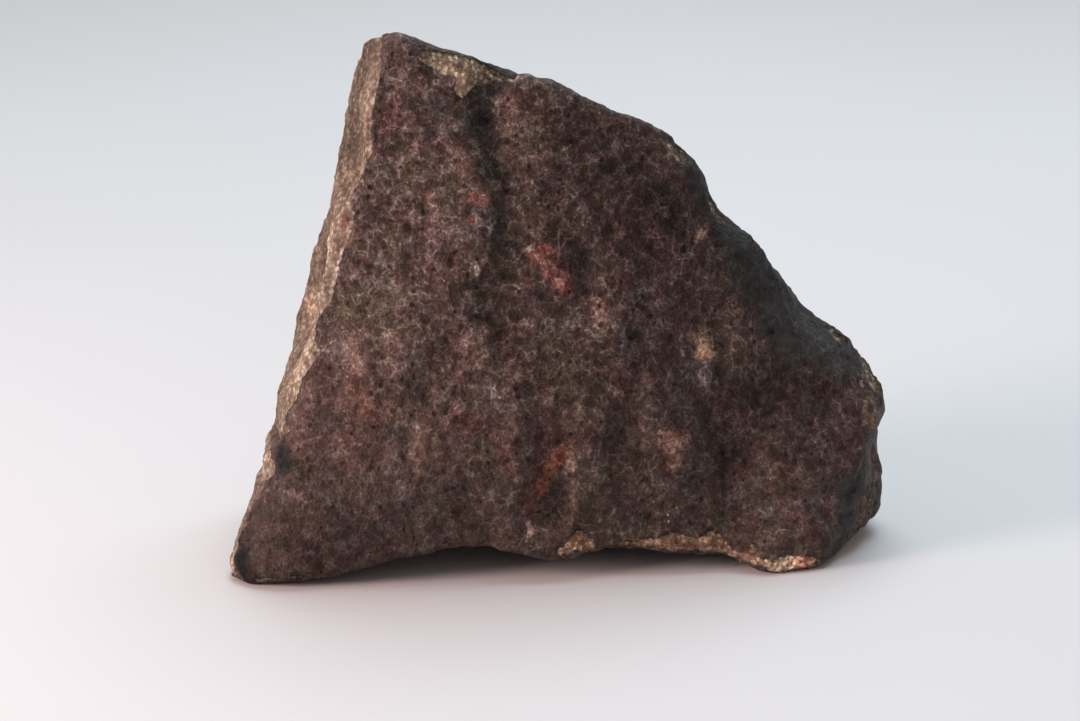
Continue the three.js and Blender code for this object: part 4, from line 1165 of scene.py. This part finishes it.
def grain_tree():
    sizes = {"Grains per square mm": 0.45, "Smallest": 0.14, "Largest": 0.36, "Sunk share": 0.66}
    tree, given, place = new_geometry_tree("grain scatter", sizes)
    bare = ramp(tree, bareness(tree, place, stored(tree, "broken")), 0.2, 0.5)
    crowded = ramp(tree, noise(tree, place, 3, 2), 0.45, 0.6)
    density = product(tree, bare, crowded, given["Grains per square mm"], 1 / MM**2)
    feeds = {"Mesh": given["Geometry"], "Density": density, "Seed": 7}
    points, normals, _ = put(tree, "GeometryNodeDistributePointsOnFaces", feeds).outputs
    size = random_number(tree, given["Smallest"], given["Largest"], seed=11)
    down = vectors(tree, "SCALE", normals, scale=product(tree, size, given["Sunk share"], -MM))[0]
    sunk = put(tree, "GeometryNodeSetPosition", {"Geometry": points, "Offset": down}).outputs[0]
    ball = put(tree, "GeometryNodeMeshUVSphere", {"Segments": 8, "Rings": 5, "Radius": MM}).outputs[0]
    feeds = {"Points": sunk, "Instance": ball, "Scale": size, "Rotation": random_turn(tree, seed=13)}
    placed = put(tree, "GeometryNodeInstanceOnPoints", feeds).outputs[0]
    feeds = {"Geometry": placed, "Name": "tone", "Value": random_number(tree, 0.0, 1.0, seed=17)}
    kind = "GeometryNodeStoreNamedAttribute"
    toned = put(tree, kind, feeds, data_type="FLOAT", domain="INSTANCE")
    finish_tree(tree, toned.outputs[0], given["Material"])
    return tree


def grain_material():
    material, tree, place = new_material("chondrules")
    tone = painted(tree, "tone")
    hue = tint(tree, ramp(tree, tone, 0.2, 0.5), BROWN_STONE, TAN)
    hue = tint(tree, ramp(tree, tone, 0.5, 0.75), hue, OLIVE_TAN)
    hue = tint(tree, ramp(tree, tone, 0.75, 0.95), hue, PALE_TAN)
    hue = stained(tree, place, hue, STONE_STAINS)
    # the forms' shades reach the grains too: partly tone, partly painted light and shade
    stops = total(tree, painted(tree, "shade"), wobble(tree, place, 0.5, 0.9, 3), -0.3)
    relief = wobble(tree, place, 0.2, 0.04, detail=3)
    bump = put(tree, "ShaderNodeBump", {"Height": relief, "Distance": MM, "Strength": 0.8})
    colour = brightened(tree, hue, stops)
    finish_material(tree, {"Base Color": colour, "Roughness": 0.7, "Normal": bump.outputs[0]})
    return material


def copy_of(source):
    copied = source.copy()
    copied.data = source.data.copy()
    copied.parent = None
    bpy.context.scene.collection.objects.link(copied)
    return copied


grains = run_tree(copy_of(stone), grain_tree(), grain_material(), "chondrules")
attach(grains, "root")

# %% [markdown]
# ## The floor and the light
#
# The stone stands on a plain pale floor that runs out of the picture on every side. A warm soft
# light comes from low on the left, and rakes over the crust so that its relief shows. A broad cool
# light from above and behind fills the floor, and leaves a soft shadow in front of the stone.

# %% Lay the floor
FLOOR_HALF_WIDTH = 4
FLOOR_COLOUR = (0.8, 0.775, 0.775)


def pale_floor():
    mesh = bpy.data.meshes.new("floor")
    w = FLOOR_HALF_WIDTH
    mesh.from_pydata([(-w, -w, 0), (w, -w, 0), (w, w, 0), (-w, w, 0)], [], [(0, 1, 2, 3)])
    floor = bpy.data.objects.new("floor", mesh)
    bpy.context.scene.collection.objects.link(floor)
    material, tree, place = new_material("floor")
    shade = ramp(tree, noise(tree, place, 300, 2), 0.3, 0.7, 0.97, 1.0)
    colour = vectors(tree, "SCALE", FLOOR_COLOUR, scale=shade)[0]
    finish_material(tree, {"Base Color": colour, "Roughness": 0.55})
    mesh.materials.append(material)
    return floor


pale_floor()
print("floor laid")

# %% Hang the lights
LIGHTS = {  # azimuth and elevation it comes from, distance, width, watts, colour
    "key_left": (-65, 18, 0.5, 0.2, 2.0, (1.0, 0.74, 0.69)),
    "top_back": (158, 68, 0.9, 0.8, 6.4, (0.68, 0.91, 1.0)),
}
AIR_COLOUR = (1.0, 0.86, 0.85, 1)
AIR_STRENGTH = 0.41


def soft_light(name, azimuth, elevation, distance, width, watts, colour):
    light = bpy.data.lights.new(name, "AREA")
    light.shape = "DISK"
    light.size = width
    light.energy = watts
    light.color = colour
    lamp = bpy.data.objects.new(name, light)
    direction = Vector(facing(azimuth, elevation))
    lamp.location = LOOK_AT + distance * direction
    lamp.rotation_euler = direction.to_track_quat("Z", "Y").to_euler()
    bpy.context.scene.collection.objects.link(lamp)


for name, setting in LIGHTS.items():
    soft_light(name, *setting)

world = bpy.data.worlds.new("air")
world.use_nodes = True
background = world.node_tree.nodes["Background"]
background.inputs["Color"].default_value = AIR_COLOUR
background.inputs["Strength"].default_value = AIR_STRENGTH
bpy.context.scene.world = world
bpy.context.scene.view_settings.view_transform = "Standard"
print("lights:", ", ".join(LIGHTS))
